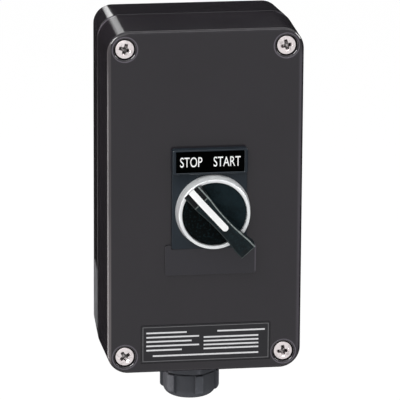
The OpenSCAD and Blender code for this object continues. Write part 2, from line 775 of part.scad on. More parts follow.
module block_housing(side) color(c_grey) at_block(side) difference() {
    facing(block_f0) linear_extrude(block_d) square([block_w, block_h], center = true);
    facing(fixed_f0) linear_extrude(block_d) square([chamber_w, chamber_h], center = true);
    facing(well_f0) linear_extrude(block_d) square([chamber_w, well_h], center = true);
    facing(fixed_f0) linear_extrude(strip_t + fit)
        square([bridge_w + 2*fit, 2*(terminal_z + 2*terminal_r + fit)], center = true);
    at_terminals() {
        facing(block_f0 - over) cylinder(r = terminal_head_r + gap, h = terminal_recess + over);
        facing(block_f0) cylinder(r = terminal_r + fit, h = fixed_f0 - block_f0 + over);
    }
}

module block_cover(side) color(c_holder) at_block(side) facing(cover_f0)
    linear_extrude(cover_t) difference() {
        square([block_w, block_h], center = true);
        circle(r = stem_r + fit);
    }

module fixed_contacts(side) color(c_brass) at_block(side) for (z = [-1, 1]) {
    facing(fixed_f0) linear_extrude(strip_t) difference() {
        translate([-bridge_w/2, z > 0 ? tip_z - tip_r : -terminal_z - 2*terminal_r])
            square([bridge_w, terminal_z + 2*terminal_r - tip_z + tip_r]);
        translate([0, z*terminal_z]) circle(r = terminal_r + fit);
    }
    translate([0, 0, z*tip_z]) facing(fixed_f1) cylinder(r = tip_r, h = tip_t);
}

module terminal_screws() color(c_steel) for (side = [-1, 1]) at_block(side) at_terminals() {
    facing(terminal_seat_f - terminal_head_h) cylinder(r = terminal_head_r, h = terminal_head_h);
    facing(terminal_seat_f - terminal_head_h) cylinder(r = terminal_r, h = fixed_f1 - terminal_seat_f + terminal_head_h);
}

// The left plunger is pressed at STOP and the right one is released.
function pressed(side) = side < 0 ? plunger_travel : 0;

module plunger(side) color(c_white) at_block(side) facing(-pressed(side)) {
    translate([0, 0, ball_tip_f]) sphere(r = stem_r);
    translate([0, 0, plunger_low_f]) cylinder(r = stem_r, h = ball_tip_f - plunger_low_f);
    translate([0, 0, plunger_low_f]) cylinder(r = plunger_shoulder_r, h = plunger_shoulder_t);
    translate([0, 0, plunger_low_f - plunger_tail_l]) cylinder(r = tail_r, h = plunger_tail_l + over);
}

module bridge(side) color(c_brass) at_block(side) facing(-pressed(side)) {
    translate([0, 0, bridge_f0]) linear_extrude(strip_t) difference() {
        square([bridge_w, bridge_l], center = true);
        circle(r = tail_r + fit);
    }
    for (z = [-1, 1]) translate([0, z*tip_z, bridge_tip_f]) cylinder(r = tip_r, h = tip_t);
}

module contact_spring(side) color(c_steel) at_block(side) facing(well_f0)
    tube(spring_r, spring_in_r, bridge_f0 - pressed(side) - well_f0);

// Cable gland

module at_gland(z) {
    translate([0, -gland_d, z]) rotate([0, 0, hex_turn]) children();
}

module gland_washer() color(c_rubber) at_gland(hex_z1) tube(pad_r - gap, gland_r + fit, washer_t);

module gland_body() color(c_black) difference() {
    union() {
        at_gland(hex_z0) cylinder(r = hex_r, h = collar_hex_h, $fn = 6);
        at_gland(hex_z1 - over) cylinder(r = gland_r, h = gland_thread_l + over);
        at_gland(spigot_z0) cylinder(r = spigot_r, h = hex_z0 - spigot_z0 + over);
    }
    at_gland(spigot_z0 - over) cylinder(r = gland_bore_r, h = gland_top_z - spigot_z0 + 2*over);
    at_gland(spigot_z0 - over) cylinder(r = seal_r + fit, h = seal_l + over + gap);
}

module gland_locknut() color(c_black) translate([0, -gland_d, pad_top_z]) difference() {
    cylinder(r = locknut_r, h = locknut_h, $fn = 6);
    translate([0, 0, -over]) cylinder(r = gland_r + fit, h = locknut_h + 2*over);
}

module gland_seal() color(c_rubber) at_gland(seal_z0) tube(seal_r, cable_r, seal_l);

module gland_dome_nut() color(c_black) at_gland(0) difference() {
    intersection() {
        translate([0, 0, dome_z0]) cylinder(r = hex_r - gap, h = dome_h, $fn = 6);
        rotate_extrude() polygon(concat(
            [[0, dome_z1], [hex_r, dome_z1]],
            [for (a = [0:15:90]) [hex_r - dome_r*(1 - cos(a)), dome_z0 + dome_r*(1 - sin(a))]],
            [[0, dome_z0]]));
    }
    translate([0, 0, spigot_z0 - gap]) cylinder(r = spigot_r + fit, h = dome_h);
    translate([0, 0, dome_z0 - over]) cylinder(r = mouth_r, h = dome_h);
}

// Every node, drawn alone or together

base();
lid();
lid_gasket();
lid_screws();
lid_screw_seals();
earth_screw();
earth_cup_washer();
foil_label();
legend_holder();
legend_insert();
lower_plate();
nameplate();
head_gasket();
head_body();
bezel_ring();
fixing_collar();
clamp_screws();
turning_disc();
disc_seal();
selector_handle();
handle_marker();
detent_ball();
detent_spring();
selector_cam();
cam_screw();
block_housing(-1);  // block_housing_left
block_housing(1);  // block_housing_right
block_cover(-1);  // block_cover_left
block_cover(1);  // block_cover_right
fixed_contacts(-1);  // fixed_contacts_left
fixed_contacts(1);  // fixed_contacts_right
terminal_screws();
plunger(-1);  // plunger_left
plunger(1);  // plunger_right
bridge(-1);  // bridge_left
bridge(1);  // bridge_right
contact_spring(-1);  // contact_spring_left
contact_spring(1);  // contact_spring_right
gland_washer();
gland_body();
gland_locknut();
gland_seal();
gland_dome_nut();
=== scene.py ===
"""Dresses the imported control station: finer meshes, finishes, studio light and camera.

Sizes are in millimetres, except that the floor, lamps and cards stand in metres.
"""

from __future__ import annotations

import json
import logging
import math
from abc import ABC, abstractmethod
from dataclasses import dataclass, field
from enum import Enum
from typing import Any, Iterable, Mapping, Sequence, Union

import bmesh
import bpy
from mathutils import Matrix, Vector


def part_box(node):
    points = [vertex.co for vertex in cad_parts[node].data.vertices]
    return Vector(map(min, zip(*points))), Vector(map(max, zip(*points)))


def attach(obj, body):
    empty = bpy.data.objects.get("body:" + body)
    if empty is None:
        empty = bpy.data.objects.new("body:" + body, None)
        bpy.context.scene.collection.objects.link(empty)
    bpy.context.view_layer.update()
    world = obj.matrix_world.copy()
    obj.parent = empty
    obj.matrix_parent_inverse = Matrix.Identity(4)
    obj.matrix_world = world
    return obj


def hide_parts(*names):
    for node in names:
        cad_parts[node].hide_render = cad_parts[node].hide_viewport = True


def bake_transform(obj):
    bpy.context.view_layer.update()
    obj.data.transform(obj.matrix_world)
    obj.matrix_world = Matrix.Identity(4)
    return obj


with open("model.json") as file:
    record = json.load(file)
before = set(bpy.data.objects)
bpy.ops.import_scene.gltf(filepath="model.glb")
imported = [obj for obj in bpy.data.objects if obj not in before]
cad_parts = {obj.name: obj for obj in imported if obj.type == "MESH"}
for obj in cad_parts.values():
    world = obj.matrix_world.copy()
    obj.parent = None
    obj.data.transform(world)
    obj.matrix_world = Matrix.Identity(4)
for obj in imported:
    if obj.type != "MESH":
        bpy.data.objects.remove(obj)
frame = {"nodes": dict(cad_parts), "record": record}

LOG = logging.getLogger("station")
MM = 0.001
PHOTO_SIDE = 400
SENSOR_WIDTH = 36.0

# Measures that shapes and finishes share.
FACE = 55.0
SCREWS = (32.0, 63.0)
NAMEPLATE = (0.5, -58.0)
SELECTOR_HOLE = 11.25
POINTER_ANGLE = 42.0
WAIST = (2.8, 90.0, 3.0)
GLAND_OFF_WALL = 13.5

# How far a tool reaches past what it cuts, and what counts as one point or one plane.
OVER = 1.0
ONE_POINT = 0.002
ONE_PLANE = 0.4

QUADRANTS = ((1, 1), (-1, 1), (-1, -1), (1, -1))
QUARTER_TURNS = ((1, 0), (0, 1), (-1, 0), (0, -1))

# A fade is where a value starts and ends its rise, a grain is a noise's size, detail and bend, and
# a rounding is its width, its steps and the least angle of the edges that it rounds.
Point = tuple[float, float]
Triple = tuple[float, float, float]
Colour = Triple
Fade = Point
Grain = tuple[float, ...]
Rounding = tuple[float, int, float]
Outline = list[Point]
Piece = bpy.types.Object
Sockets = Mapping[Union[str, int], Any]


class Body(Enum):
    """The bodies of the frame that a piece can ride on."""

    STATION = "station"
    SELECTOR = "selector"
    LEFT_PLUNGER = "left_plunger"
    RIGHT_PLUNGER = "right_plunger"


class Slot(Enum):
    """The record's material slots."""

    ENCLOSURE = "enclosure"
    RUBBER = "rubber"
    SCREW_STEEL = "screw_steel"
    BRASS = "brass"
    FOIL = "foil"
    HOLDER = "holder"
    LEGEND_BLACK = "legend_black"
    NAMEPLATE_BLACK = "nameplate_black"
    SATIN_CHROME = "satin_chrome"
    GREY_PLASTIC = "grey_plastic"
    CAST_ZINC = "cast_zinc"
    COVER_PLASTIC = "cover_plastic"
    HANDLE_BLACK = "handle_black"
    MARKER_WHITE = "marker_white"
    WHITE_PLASTIC = "white_plastic"
    SPRING_STEEL = "spring_steel"
    GLAND_PLASTIC = "gland_plastic"


class Cut(Enum):
    """What a tool does to the body that it meets."""

    TAKE = "DIFFERENCE"
    JOIN = "UNION"
    KEEP = "INTERSECT"


class Axis(Enum):
    """The way that a turned or drawn form stands."""

    FORWARD = "forward"
    UPRIGHT = "upright"


class Use(Enum):
    """What a lamp does: lights matt surfaces, shows in glossy ones, or both."""

    BOTH = "both"
    MATT = "matt"
    MIRRORED = "mirrored"


# Meshes


@dataclass(frozen=True)
class Stand:
    """Where a form stands and which way it grows.

    A forward stand draws x to the right and y up the front, and grows out of the wall. An upright
    stand draws x to the right and y into the wall, and grows upwards.
    """

    x: float = 0.0
    y: float = 0.0
    z: float = 0.0
    axis: Axis = Axis.FORWARD
    turn: float = 0.0

    def place(self, across: float, along: float, height: float) -> Vector:
        """Gives a drawn point's place in the frame.

        Args:
            across: First drawn coordinate.
            along: Second drawn coordinate.
            height: Distance along the stand's axis.

        Returns:
            The place.
        """
        c, s = math.cos(math.radians(self.turn)), math.sin(math.radians(self.turn))
        u, v = c * across - s * along, s * across + c * along
        if self.axis is Axis.FORWARD:
            return Vector((self.x + u, self.y - height, self.z + v))
        return Vector((self.x + u, self.y + v, self.z + height))


class Box:
    """A CAD node's box: its corners, size and middle, and how far its back and front stand out."""

    def __init__(self, node: str) -> None:
        """Reads a node's box from the frame."""
        low, high = (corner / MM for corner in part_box(node))
        self.low, self.high = low, high
        self.width, self.height = high.x - low.x, high.z - low.z
        self.back, self.front = -high.y, -low.y
        self.x, self.z = (low.x + high.x) / 2, (low.z + high.z) / 2
        self.stand = Stand(x=self.x, z=self.z)


def selector_stand(turn: float = 0.0) -> Stand:
    """Gives the stand on the selector's axis, turned by degrees."""
    joints = frame["record"]["behaviour"]["joints"]
    x, _, z = next(j["pos_m"] for j in joints if j["child"] == Body.SELECTOR.value)
    return Stand(x=x / MM, z=z / MM, turn=turn)


def linked(name: str, data: bpy.types.ID) -> Piece:
    """Puts an object with this data into the scene."""
    made = bpy.data.objects.new(name, data)
    bpy.context.scene.collection.objects.link(made)
    return made


class Form:
    """A closed mesh in the making on one stand."""

    def __init__(self, name: str, stand: Stand = Stand()) -> None:
        """Starts an empty form with the name of its piece."""
        self.name = name
        self.stand = stand
        self.mesh = bmesh.new()

    def sweep(self, rows: Sequence[Sequence[Triple]], looped: bool = False) -> Form:
        """Joins rows of equal count into one closed body.

        Args:
            rows: The drawn places of each row's points, with their heights.
            looped: Whether the last row joins the first, as in a ring. Otherwise both ends are
                capped.

        Returns:
            The form itself.
        """
        drawn = [[self.mesh.verts.new(self.stand.place(*p) * MM) for p in row] for row in rows]
        for lower, upper in zip(drawn, drawn[1:] + (drawn[:1] if looped else [])):
            for i in range(len(lower)):
                j = (i + 1) % len(lower)
                self.mesh.faces.new((lower[i], lower[j], upper[j], upper[i]))
        if not looped:
            self.mesh.faces.new(drawn[0])
            self.mesh.faces.new(drawn[-1])
        return self

    def skin(self, rings: Sequence[tuple[Outline, float]], looped: bool = False) -> Form:
        """Joins flat outlines, each with its height, into one closed body."""
        return self.sweep([[(u, v, height) for u, v in ring] for ring, height in rings], looped)

    def made(self) -> Piece:
        """Closes the form and returns it as an object in the scene."""
        bmesh.ops.recalc_face_normals(self.mesh, faces=self.mesh.faces)
        data = bpy.data.meshes.new(self.name)
        self.mesh.to_mesh(data)
        self.mesh.free()
        return linked(self.name, data)


def circle(radius: float, steps: int = 96) -> Outline:
    """Draws a circle as an outline."""
    angles = [math.tau * i / steps for i in range(steps)]
    return [(radius * math.cos(angle), radius * math.sin(angle)) for angle in angles]


def rounded(width: float, height: float, radius: float, steps: int) -> Outline:
    """Draws a rectangle with round corners about the origin.

    Args:
        width: Width over all.
        height: Height over all.
        radius: Corner radius.
        steps: Straight parts in each corner.

    Returns:
        The outline, anticlockwise from the right.
    """
    outline: Outline = []
    for quarter, (sx, sy) in enumerate(QUADRANTS):
        x, y = sx * (width / 2 - radius), sy * (height / 2 - radius)
        for i in range(steps + 1):
            angle = math.pi / 2 * (quarter + i / steps)
            outline.append((x + radius * math.cos(angle), y + radius * math.sin(angle)))
    return outline


def arc(radius: float, steps: int) -> list[Point]:
    """Gives the (inset, rise) pairs of a rounded edge, from its side to its top."""
    angles = [math.pi / 2 * i / steps for i in range(steps + 1)]
    return [(radius * (1 - math.cos(angle)), radius * math.sin(angle)) for angle in angles]


def slab(
    name: str,
    stand: Stand,
    size: Point,
    corner: Point,
    span: Point,
    edge: float,
    steps: tuple[int, int],
) -> Piece:
    """Makes a plate with round corners and a rounded upper edge.

    Args:
        name: Name of the piece.
        stand: Where it stands.
        size: Width and height.
        corner: Corner radius, and how much of the edge's inset it loses.
        span: Heights of its underside and its top.
        edge: Radius of the upper edge.
        steps: Straight parts in each corner and in that edge.

    Returns:
        The plate.
    """
    (width, height), (radius, loss), (low, high) = size, corner, span
    rings = []
    for inset, level in [(0.0, low)] + [(i, high - edge + rise) for i, rise in arc(edge, steps[1])]:
        drawn = (width - 2 * inset, height - 2 * inset, radius - inset * loss)
        rings.append((rounded(*drawn, steps[0]), level))
    return Form(name, stand).skin(rings).made()


def filling(name: str, box: Box, corner: Point, edge: float, steps: tuple[int, int]) -> Piece:
    """Makes a slab that fills a node's box."""
    size, span = (box.width, box.height), (box.back, box.front)
    return slab(name, box.stand, size, corner, span, edge, steps)


def turned(
    name: str, stand: Stand, profile: Sequence[Point], steps: int = 96, looped: bool = False
) -> Piece:
    """Makes a solid of revolution.

    Args:
        name: Name of the piece.
        stand: Where it stands.
        profile: The (radius, height) pairs of its section.
        steps: Straight parts in each of its circles.
        looped: Whether the section is closed, as a ring's is. Otherwise both ends are capped.

    Returns:
        The solid.
    """
    return Form(name, stand).skin([(circle(r, steps), h) for r, h in profile], looped).made()


def rod(name: str, stand: Stand, radius: float, span: Point, steps: int = 96) -> Piece:
    """Makes a plain cylinder between two heights."""
    return turned(name, stand, [(radius, height) for height in span], steps)


def rods(name: str, radius: float, span: Point, at: Iterable[Point]) -> list[Piece]:
    """Makes alike cylinders that stand forward at several places."""
    return [rod(name, Stand(x=x, z=z), radius, span, 64) for x, z in at]


def wound(name: str, stand: Stand, coil: Point, span: Point, turns: int) -> Piece:
    """Makes a wire spring whose first and last turns are closed.

    Args:
        name: Name of the piece.
        stand: Where it stands.
        coil: Radius to the wire's middle, and the wire's own radius.
        span: Heights of its ends.
        turns: Number of its turns.

    Returns:
        The spring.
    """
    (radius, wire), (low, high) = coil, span
    steps, sides = 24, 10
    open_pitch = (high - low - 6 * wire) / (turns - 2)
    rows = []
    for turn in (i / steps for i in range(turns * steps + 1)):
        rise = min(turn, 1.0) * 2 * wire + max(turn - (turns - 1), 0.0) * 2 * wire
        rise += min(max(turn - 1, 0.0), turns - 2) * open_pitch
        across, along = math.cos(math.tau * turn), math.sin(math.tau * turn)
        rows.append(
            [
                ((radius + out) * across, (radius + out) * along, low + wire + rise + up)
                for out, up in circle(wire, sides)
            ]
        )
    return Form(name, stand).sweep(rows).made()


def evaluated(piece: Piece) -> bpy.types.Mesh:
    """Gives a piece's mesh with its modifiers applied."""
    graph = bpy.context.evaluated_depsgraph_get()
    return bpy.data.meshes.new_from_object(piece.evaluated_get(graph))


def settle(piece: Piece) -> Piece:
    """Applies a piece's modifiers to its mesh."""
    made = evaluated(piece)
    piece.modifiers.clear()
    old, piece.data = piece.data, made
    bpy.data.meshes.remove(old)
    return piece


def carve(body: Piece, tools: Sequence[Piece], cut: Cut = Cut.TAKE) -> Piece:
    """Cuts or joins tools into a body, and uses them up.

    Args:
        body: The piece that changes.
        tools: The solids that shape it.
        cut: What they do to it.

    Returns:
        The body.
    """
    for tool in tools:
        modifier = body.modifiers.new("cut", "BOOLEAN")
        modifier.operation = cut.value
        modifier.object = tool
        modifier.solver = "EXACT"
        settle(body)
        bpy.data.objects.remove(tool)
    return body


def clean(piece: Piece) -> Piece:
    """Joins doubled points and drops slivers and needless edges on flat faces."""
    mesh = bmesh.new()
    mesh.from_mesh(piece.data)
    near = ONE_POINT * MM
    bmesh.ops.remove_doubles(mesh, verts=mesh.verts, dist=near)
    bmesh.ops.dissolve_degenerate(mesh, edges=mesh.edges, dist=near)
    flat = math.radians(ONE_PLANE)
    bmesh.ops.dissolve_limit(mesh, angle_limit=flat, verts=mesh.verts, edges=mesh.edges)
    mesh.to_mesh(piece.data)
    mesh.free()
    return piece


def soften(piece: Piece, width: float, steps: int, angle: float) -> Piece:
    """Rounds a piece's edges.

    Args:
        piece: The piece.
        width: Width of the rounding.
        steps: Straight parts in it.
        angle: The least angle in degrees of an edge that is rounded.

    Returns:
        The piece.
    """
    modifier = clean(piece).modifiers.new("soften", "BEVEL")
    modifier.width = width * MM
    modifier.segments = steps
    modifier.limit_method = "ANGLE"
    modifier.angle_limit = math.radians(angle)
    modifier.miter_outer = "MITER_ARC"
    return settle(piece)


def smooth(piece: Piece, angle: float = 32.0) -> Piece:
    """Shades a piece smooth but for edges sharper than an angle in degrees."""
    piece.data.shade_smooth()
    piece.data.set_sharp_from_angle(angle=math.radians(angle))
    even = piece.modifiers.new("even", "WEIGHTED_NORMAL")
    even.mode = "FACE_AREA"
    even.weight = 100
    even.keep_sharp = True
    return piece


# Shading


class Signal:
    """One output socket of a node, on which arithmetic adds Math nodes."""

    def __init__(self, bench: Bench, socket: bpy.types.NodeSocket) -> None:
        """Wraps a socket of the bench's tree."""
        self.bench = bench
        self.socket = socket

    def __add__(self, other: Operand) -> Signal:
        """Adds."""
        return self.bench.maths("ADD", self, other)

    def __radd__(self, other: Operand) -> Signal:
        """Adds, from the right."""
        return self.bench.maths("ADD", other, self)

    def __sub__(self, other: Operand) -> Signal:
        """Takes away."""
        return self.bench.maths("SUBTRACT", self, other)

    def __rsub__(self, other: Operand) -> Signal:
        """Takes this away from a number."""
        return self.bench.maths("SUBTRACT", other, self)

    def __mul__(self, other: Operand) -> Signal:
        """Multiplies."""
        return self.bench.maths("MULTIPLY", self, other)

    def __rmul__(self, other: Operand) -> Signal:
        """Multiplies, from the right."""
        return self.bench.maths("MULTIPLY", other, self)

    def __truediv__(self, other: Operand) -> Signal:
        """Divides."""
        return self.bench.maths("DIVIDE", self, other)

    def __rtruediv__(self, other: Operand) -> Signal:
        """Divides a number by this."""
        return self.bench.maths("DIVIDE", other, self)

    def __abs__(self) -> Signal:
        """Drops the sign."""
        return self.bench.maths("ABSOLUTE", self)

    def least(self, other: Operand) -> Signal:
        """Takes the lesser of two values."""
        return self.bench.maths("MINIMUM", self, other)

    def most(self, other: Operand) -> Signal:
        """Takes the greater of two values."""
        return self.bench.maths("MAXIMUM", self, other)

    def between(self, low: float, high: float) -> Signal:
        """Rises smoothly from 0 at low to 1 at high, or falls where low is the greater."""
        if low > high:
            return 1.0 - self.between(high, low)
        sockets = {"Value": self, "From Min": low, "From Max": high}
        settings = {"interpolation_type": "SMOOTHSTEP"}
        return self.bench.signal("ShaderNodeMapRange", settings, sockets)


Operand = Union[Signal, float]
Tone = Union[Signal, Colour]


class Bench:
    """A node tree that is filled through one method."""

    def __init__(self, owner: Union[bpy.types.Material, bpy.types.World]) -> None:
        """Empties the owner's tree."""
        owner.use_nodes = True
        self.tree = owner.node_tree
        self.tree.nodes.clear()

    def node(
        self, kind: str, settings: Mapping[str, Any] | None = None, sockets: Sockets | None = None
    ) -> bpy.types.Node:
        """Adds a node.

        Args:
            kind: The node's type.
            settings: Its properties, which are set first.
            sockets: The value or the signal of each input.

        Returns:
            The node.
        """
        made = self.tree.nodes.new(kind)
        for name, value in (settings or {}).items():
            setattr(made, name, value)
        for name, value in (sockets or {}).items():
            if isinstance(value, Signal):
                self.tree.links.new(value.socket, made.inputs[name])
            else:
                made.inputs[name].default_value = value
        return made

    def signal(
        self,
        kind: str,
        settings: Mapping[str, Any] | None = None,
        sockets: Sockets | None = None,
        output: Union[str, int] = 0,
    ) -> Signal:
        """Adds a node and wraps one of its outputs.

        Args:
            kind: The node's type.
            settings: Its properties.
            sockets: The value or the signal of each input.
            output: The output that is wrapped.

        Returns:
            The signal.
        """
        return Signal(self, self.node(kind, settings, sockets).outputs[output])

    def maths(self, operation: str, first: Operand, second: Operand = 0.0) -> Signal:
        """Works out one Math operation on two operands."""
        return self.signal("ShaderNodeMath", {"operation": operation}, {0: first, 1: second})

    def length(self, across: Signal, along: Signal) -> Signal:
        """Gives the length of a line from what it covers across and along."""
        return self.maths("SQRT", across * across + along * along)

    def place(self) -> Signal:
        """Gives the place on the object in millimetres."""
        metres = self.signal("ShaderNodeTexCoord", output="Object")
        sockets = {0: metres, "Scale": 1 / MM}
        return self.signal("ShaderNodeVectorMath", {"operation": "SCALE"}, sockets)

    def parts(self, vector: Signal) -> list[Signal]:
        """Splits a vector into its three numbers."""
        split = self.node("ShaderNodeSeparateXYZ", sockets={0: vector})
        return [Signal(self, split.outputs[i]) for i in range(3)]

    def joined(self, x: Operand, y: Operand, z: Operand) -> Signal:
        """Joins three numbers into a vector."""
        return self.signal("ShaderNodeCombineXYZ", sockets={0: x, 1: y, 2: z})

    def noise(self, place: Signal, size: float, detail: float = 2.0, bend: float = 0.0) -> Signal:
        """Gives soft noise from 0 to 1.

        Args:
            place: The place in millimetres.
            size: Size of its lumps in millimetres.
            detail: Number of finer layers.
            bend: How far it is distorted.

        Returns:
            The noise.
        """
        sockets = {"Vector": place, "Scale": 1 / size, "Detail": detail, "Distortion": bend}
        return self.signal("ShaderNodeTexNoise", sockets=sockets)

    def blend(self, factor: Operand, first: Tone, second: Tone) -> Signal:
        """Mixes two colours.

        Args:
            factor: 0 for the first and 1 for the second.
            first: A colour.
            second: A colour.

        Returns:
            The mixed colour.
        """
        ends = [c if isinstance(c, Signal) else (*c, 1.0) for c in (first, second)]
        sockets = {0: factor, 6: ends[0], 7: ends[1]}
        return self.signal("ShaderNodeMix", {"data_type": "RGBA"}, sockets, 2)

    def shades(self, factor: Operand, colour: Colour, low: float, high: float) -> Signal:
        """Mixes two shades of one colour."""
        return self.blend(factor, shade(colour, low), shade(colour, high))

    def coated(self, tone: Tone, coats: Iterable[tuple[Operand, Tone]]) -> Signal:
        """Lays coats on a colour, in turn.

        Args:
            tone: The colour below.
            coats: How much each coat covers, and its colour.

        Returns:
            The colour that is seen.
        """
        for cover, colour in coats:
            tone = self.blend(cover, tone, colour)
        return tone

    def bump(self, height: Signal, strength: float) -> Signal:
        """Turns a height in millimetres into a normal."""
        sockets = {"Strength": strength, "Distance": MM, "Height": height}
        return self.signal("ShaderNodeBump", sockets=sockets)

    def end(self, shader: Signal, kind: str = "Material") -> None:
        """Ends the tree in this shader."""
        self.node(f"ShaderNodeOutput{kind}", sockets={"Surface": shader})

    def surface(self, sockets: Sockets) -> None:
        """Ends the tree in one principled shader with these sockets."""
        self.end(self.signal("ShaderNodeBsdfPrincipled", sockets=sockets))


def shade(colour: Colour, amount: float) -> Colour:
    """Makes a colour lighter or darker by a factor."""
    return (colour[0] * amount, colour[1] * amount, colour[2] * amount)


@dataclass(frozen=True)
class Finish(ABC):
    """A finish: its slot, and how a surface with it is shaded."""

    slot: Slot

    @abstractmethod
    def dress(self, bench: Bench) -> None:
        """Fills the material's tree."""

    def material(self) -> bpy.types.Material:
        """Makes the finish's material."""
        made = bpy.data.materials.new(self.slot.value)
        self.dress(Bench(made))
        return made


@dataclass(frozen=True)
class Enamel(Finish):
    """Semi-gloss stoved paint on a casting, with fine orange peel, wear on its edges, and painted
    highlights on its edges, its seam's corners and round its screws.
    """

    colour: Colour = (0.0205, 0.0185, 0.0225)
    # Colour of the painted highlight down the left edge.
    left_highlight_colour: Colour = (0.155, 0.139, 0.142)
    plate_colour: Colour = (0.0235, 0.0225, 0.029)
    roughness: float = 0.12
    gloss: float = 0.3
    cloud: Grain = (24.0, 3.0)
    peel: Grain = (1.3,)
    grit: Grain = (0.3, 1.0)
    rub_and_highlight: Grain = (5.0, 4.0)
    side: float = 39.0
    end: float = 70.0
    edge: float = 1.5
    # The fades and sizes below place the edge wear and the painted highlights.
    rub_and_highlight_fade: Fade = (0.15, 0.6)
    rub_and_highlight_patches: Fade = (0.42, 0.7)
    # Radius of the painted highlight rings round the screws.
    ring: float = 5.0
    ring_highlight_fade: Fade = (0.32, 0.08)
    seam: float = 26.6
    seam_fade: Fade = (-0.1, 0.0)
    corner: float = 7.0
    corner_fade: Fade = (0.0, 3.5)
    seam_highlight: float = 2.2
    seam_highlight_fade: Fade = (0.1, -0.3)
    plate: Box = field(default_factory=lambda: Box("lower_plate"))
    # Inset of the painted highlight line on the lower plate's right edge.
    line: float = 0.3
    plate_highlight_fade: Fade = (0.45, 0.2)
    plate_highlight_end: float = 1.5
    highlight_band: Point = (0.9, 0.6)
    highlight_band_fades: tuple[Fade, Fade] = ((0.0, 1.2), (0.3, 0.0))
    highlight_band_end: Point = (6.0, 12.0)
    # Inset of the painted highlight down the left edge.
    left: float = 0.35
    left_highlight_fade: Fade = (0.1, 0.4)
    left_highlight_lower: Fade = (-25.0, 45.0)
    speck_fade: Fade = (0.66, 0.8)

    def dress(self, bench: Bench) -> None:
        """Fills the material's tree."""
        place = bench.place()
        x, y, z = bench.parts(place)
        out, wide, high = 0.0 - y, abs(x), abs(z)
        flank, head = self.side - self.edge, self.end - self.edge
        grains = (self.cloud, self.peel, self.grit, self.rub_and_highlight)
        cloud, peel, grit, patches = (bench.noise(place, *grain) for grain in grains)

        # Paint thinned by wear on the edges round the face, partly a painted highlight, and a
        # painted highlight down the left edge, brighter towards the bottom.
        ahead = (out - (FACE - self.edge)) / self.edge
        beside = (wide - flank).most(high - head) / self.edge
        rub_and_highlight = beside.least(ahead).between(*self.rub_and_highlight_fade) * patches.between(*self.rub_and_highlight_patches)
        left = ((0.0 - x - (flank - self.left)) / self.edge).least(ahead).between(*self.left_highlight_fade)
        left_highlight_cover = (0.0 - z).between(*self.left_highlight_lower) * 0.4 + cloud * 0.35 + 0.12

        # Painted highlights: rings round the screws, and crescents near the seam where it turns a
        # corner.
        from_screw = bench.length(wide - SCREWS[0], high - SCREWS[1])
        ring_highlight = abs(from_screw - self.ring).between(*self.ring_highlight_fade)
        ring_highlight = ring_highlight * out.between(FACE - 0.5, FACE - 0.1)
        past = out - self.seam
        bend = (wide - (flank - self.corner)).least(high - (head - self.corner))
        seam_highlight = past / self.seam_highlight - bend.between(*self.corner_fade)
        seam_highlight = past.between(*self.seam_fade) * seam_highlight.between(*self.seam_highlight_fade)

        # The lower plate's face, and a painted highlight line on its right edge.
        plated = out.between(FACE + 0.3, FACE + 0.6)
        half = self.plate.height / 2
        line = abs(x - (self.plate.high.x - self.line)).between(*self.plate_highlight_fade)
        line = line * abs(z - self.plate.z).between(half, half - self.plate_highlight_end)
        line = line * out.between(FACE + 0.1, FACE + 0.3)

        # A painted highlight strip inside the face's right edge.
        start, stop = self.highlight_band
        rise, fall = self.highlight_band_fades
        highlight_band = (x - (flank - start)).between(*rise) * (x - (flank + stop)).between(*fall)
        highlight_band = highlight_band * out.between(FACE - 0.8, FACE - 0.2)
        highlight_band = highlight_band * high.between(*(self.end - reach for reach in self.highlight_band_end))

        # Painted highlights of the screw rings, the plate's right edge and the seam's corners.
        painted_highlights = ring_highlight.most(line * 0.5).most(seam_highlight) * (0.35 + cloud * 0.6)
        tone = bench.coated(
            bench.shades(cloud, self.colour, 0.9, 1.1),
            (
                (plated * 0.7, self.plate_colour),
                (painted_highlights, shade(self.colour, 8.0)),
                # Edge wear, lighter in colour, partly as a painted highlight.
                (rub_and_highlight * 0.35, shade(self.colour, 2.2)),
                (highlight_band * (0.3 + cloud * 0.3), shade(self.colour, 4.5)),
                (left * left_highlight_cover, self.left_highlight_colour),
                (grit.between(*self.speck_fade) * 0.25, shade(self.colour, 1.7)),
            ),
        )
        bench.surface(
            {
                "Base Color": tone,
                "Roughness": self.roughness + (cloud - 0.5) * 0.08 - rub_and_highlight * 0.06,
                "Specular IOR Level": self.gloss,
                "Normal": bench.bump(peel * 0.02 + grit * 0.006, 0.55),
            }
        )


@dataclass(frozen=True)
class Moulding(Finish):
    """Moulded plastic with a fine spark-eroded grain and faint flow clouds.

    Ribs, where it has them, are lighter where they stand out from the gland's axis, partly as wear
    and partly as a painted highlight.
    """

    colour: Colour
    roughness: float = 0.42
    gloss: float = 0.3
    grain: float = 0.35
    depth: float = 0.012
    varies: float = 0.1
    cloud: Grain = (9.0, 3.0, 0.4)
    rub_and_highlight: Grain = (3.0, 4.0)
    rub_and_highlight_fade: Fade = (0.5, 0.75)
    ribs: Fade | None = None
    rib_highlight_shade: float = 2.6

    def dress(self, bench: Bench) -> None:
        """Fills the material's tree."""
        place = bench.place()
        cloud = bench.noise(place, *self.cloud)
        grain = bench.noise(place, self.grain)
        wear_and_highlight = bench.noise(place, *self.rub_and_highlight).between(*self.rub_and_highlight_fade)
        tone = bench.shades(cloud, self.colour, 1 - self.varies, 1 + self.varies)
        if self.ribs:
            x, y, _ = bench.parts(place)
            # Ribs lighter where they stand out: partly wear, partly a painted highlight.
            cover = bench.length(x, y + GLAND_OFF_WALL).between(*self.ribs) * (0.25 + wear_and_highlight * 0.4)
            tone = bench.blend(cover, tone, shade(self.colour, self.rib_highlight_shade))
        bench.surface(
            {
                "Base Color": tone,
                "Roughness": self.roughness + (grain - 0.5) * 0.1 - wear_and_highlight * 0.04,
                "Specular IOR Level": self.gloss,
                "Normal": bench.bump(grain * self.depth + cloud * self.depth, 0.6),
            }
        )


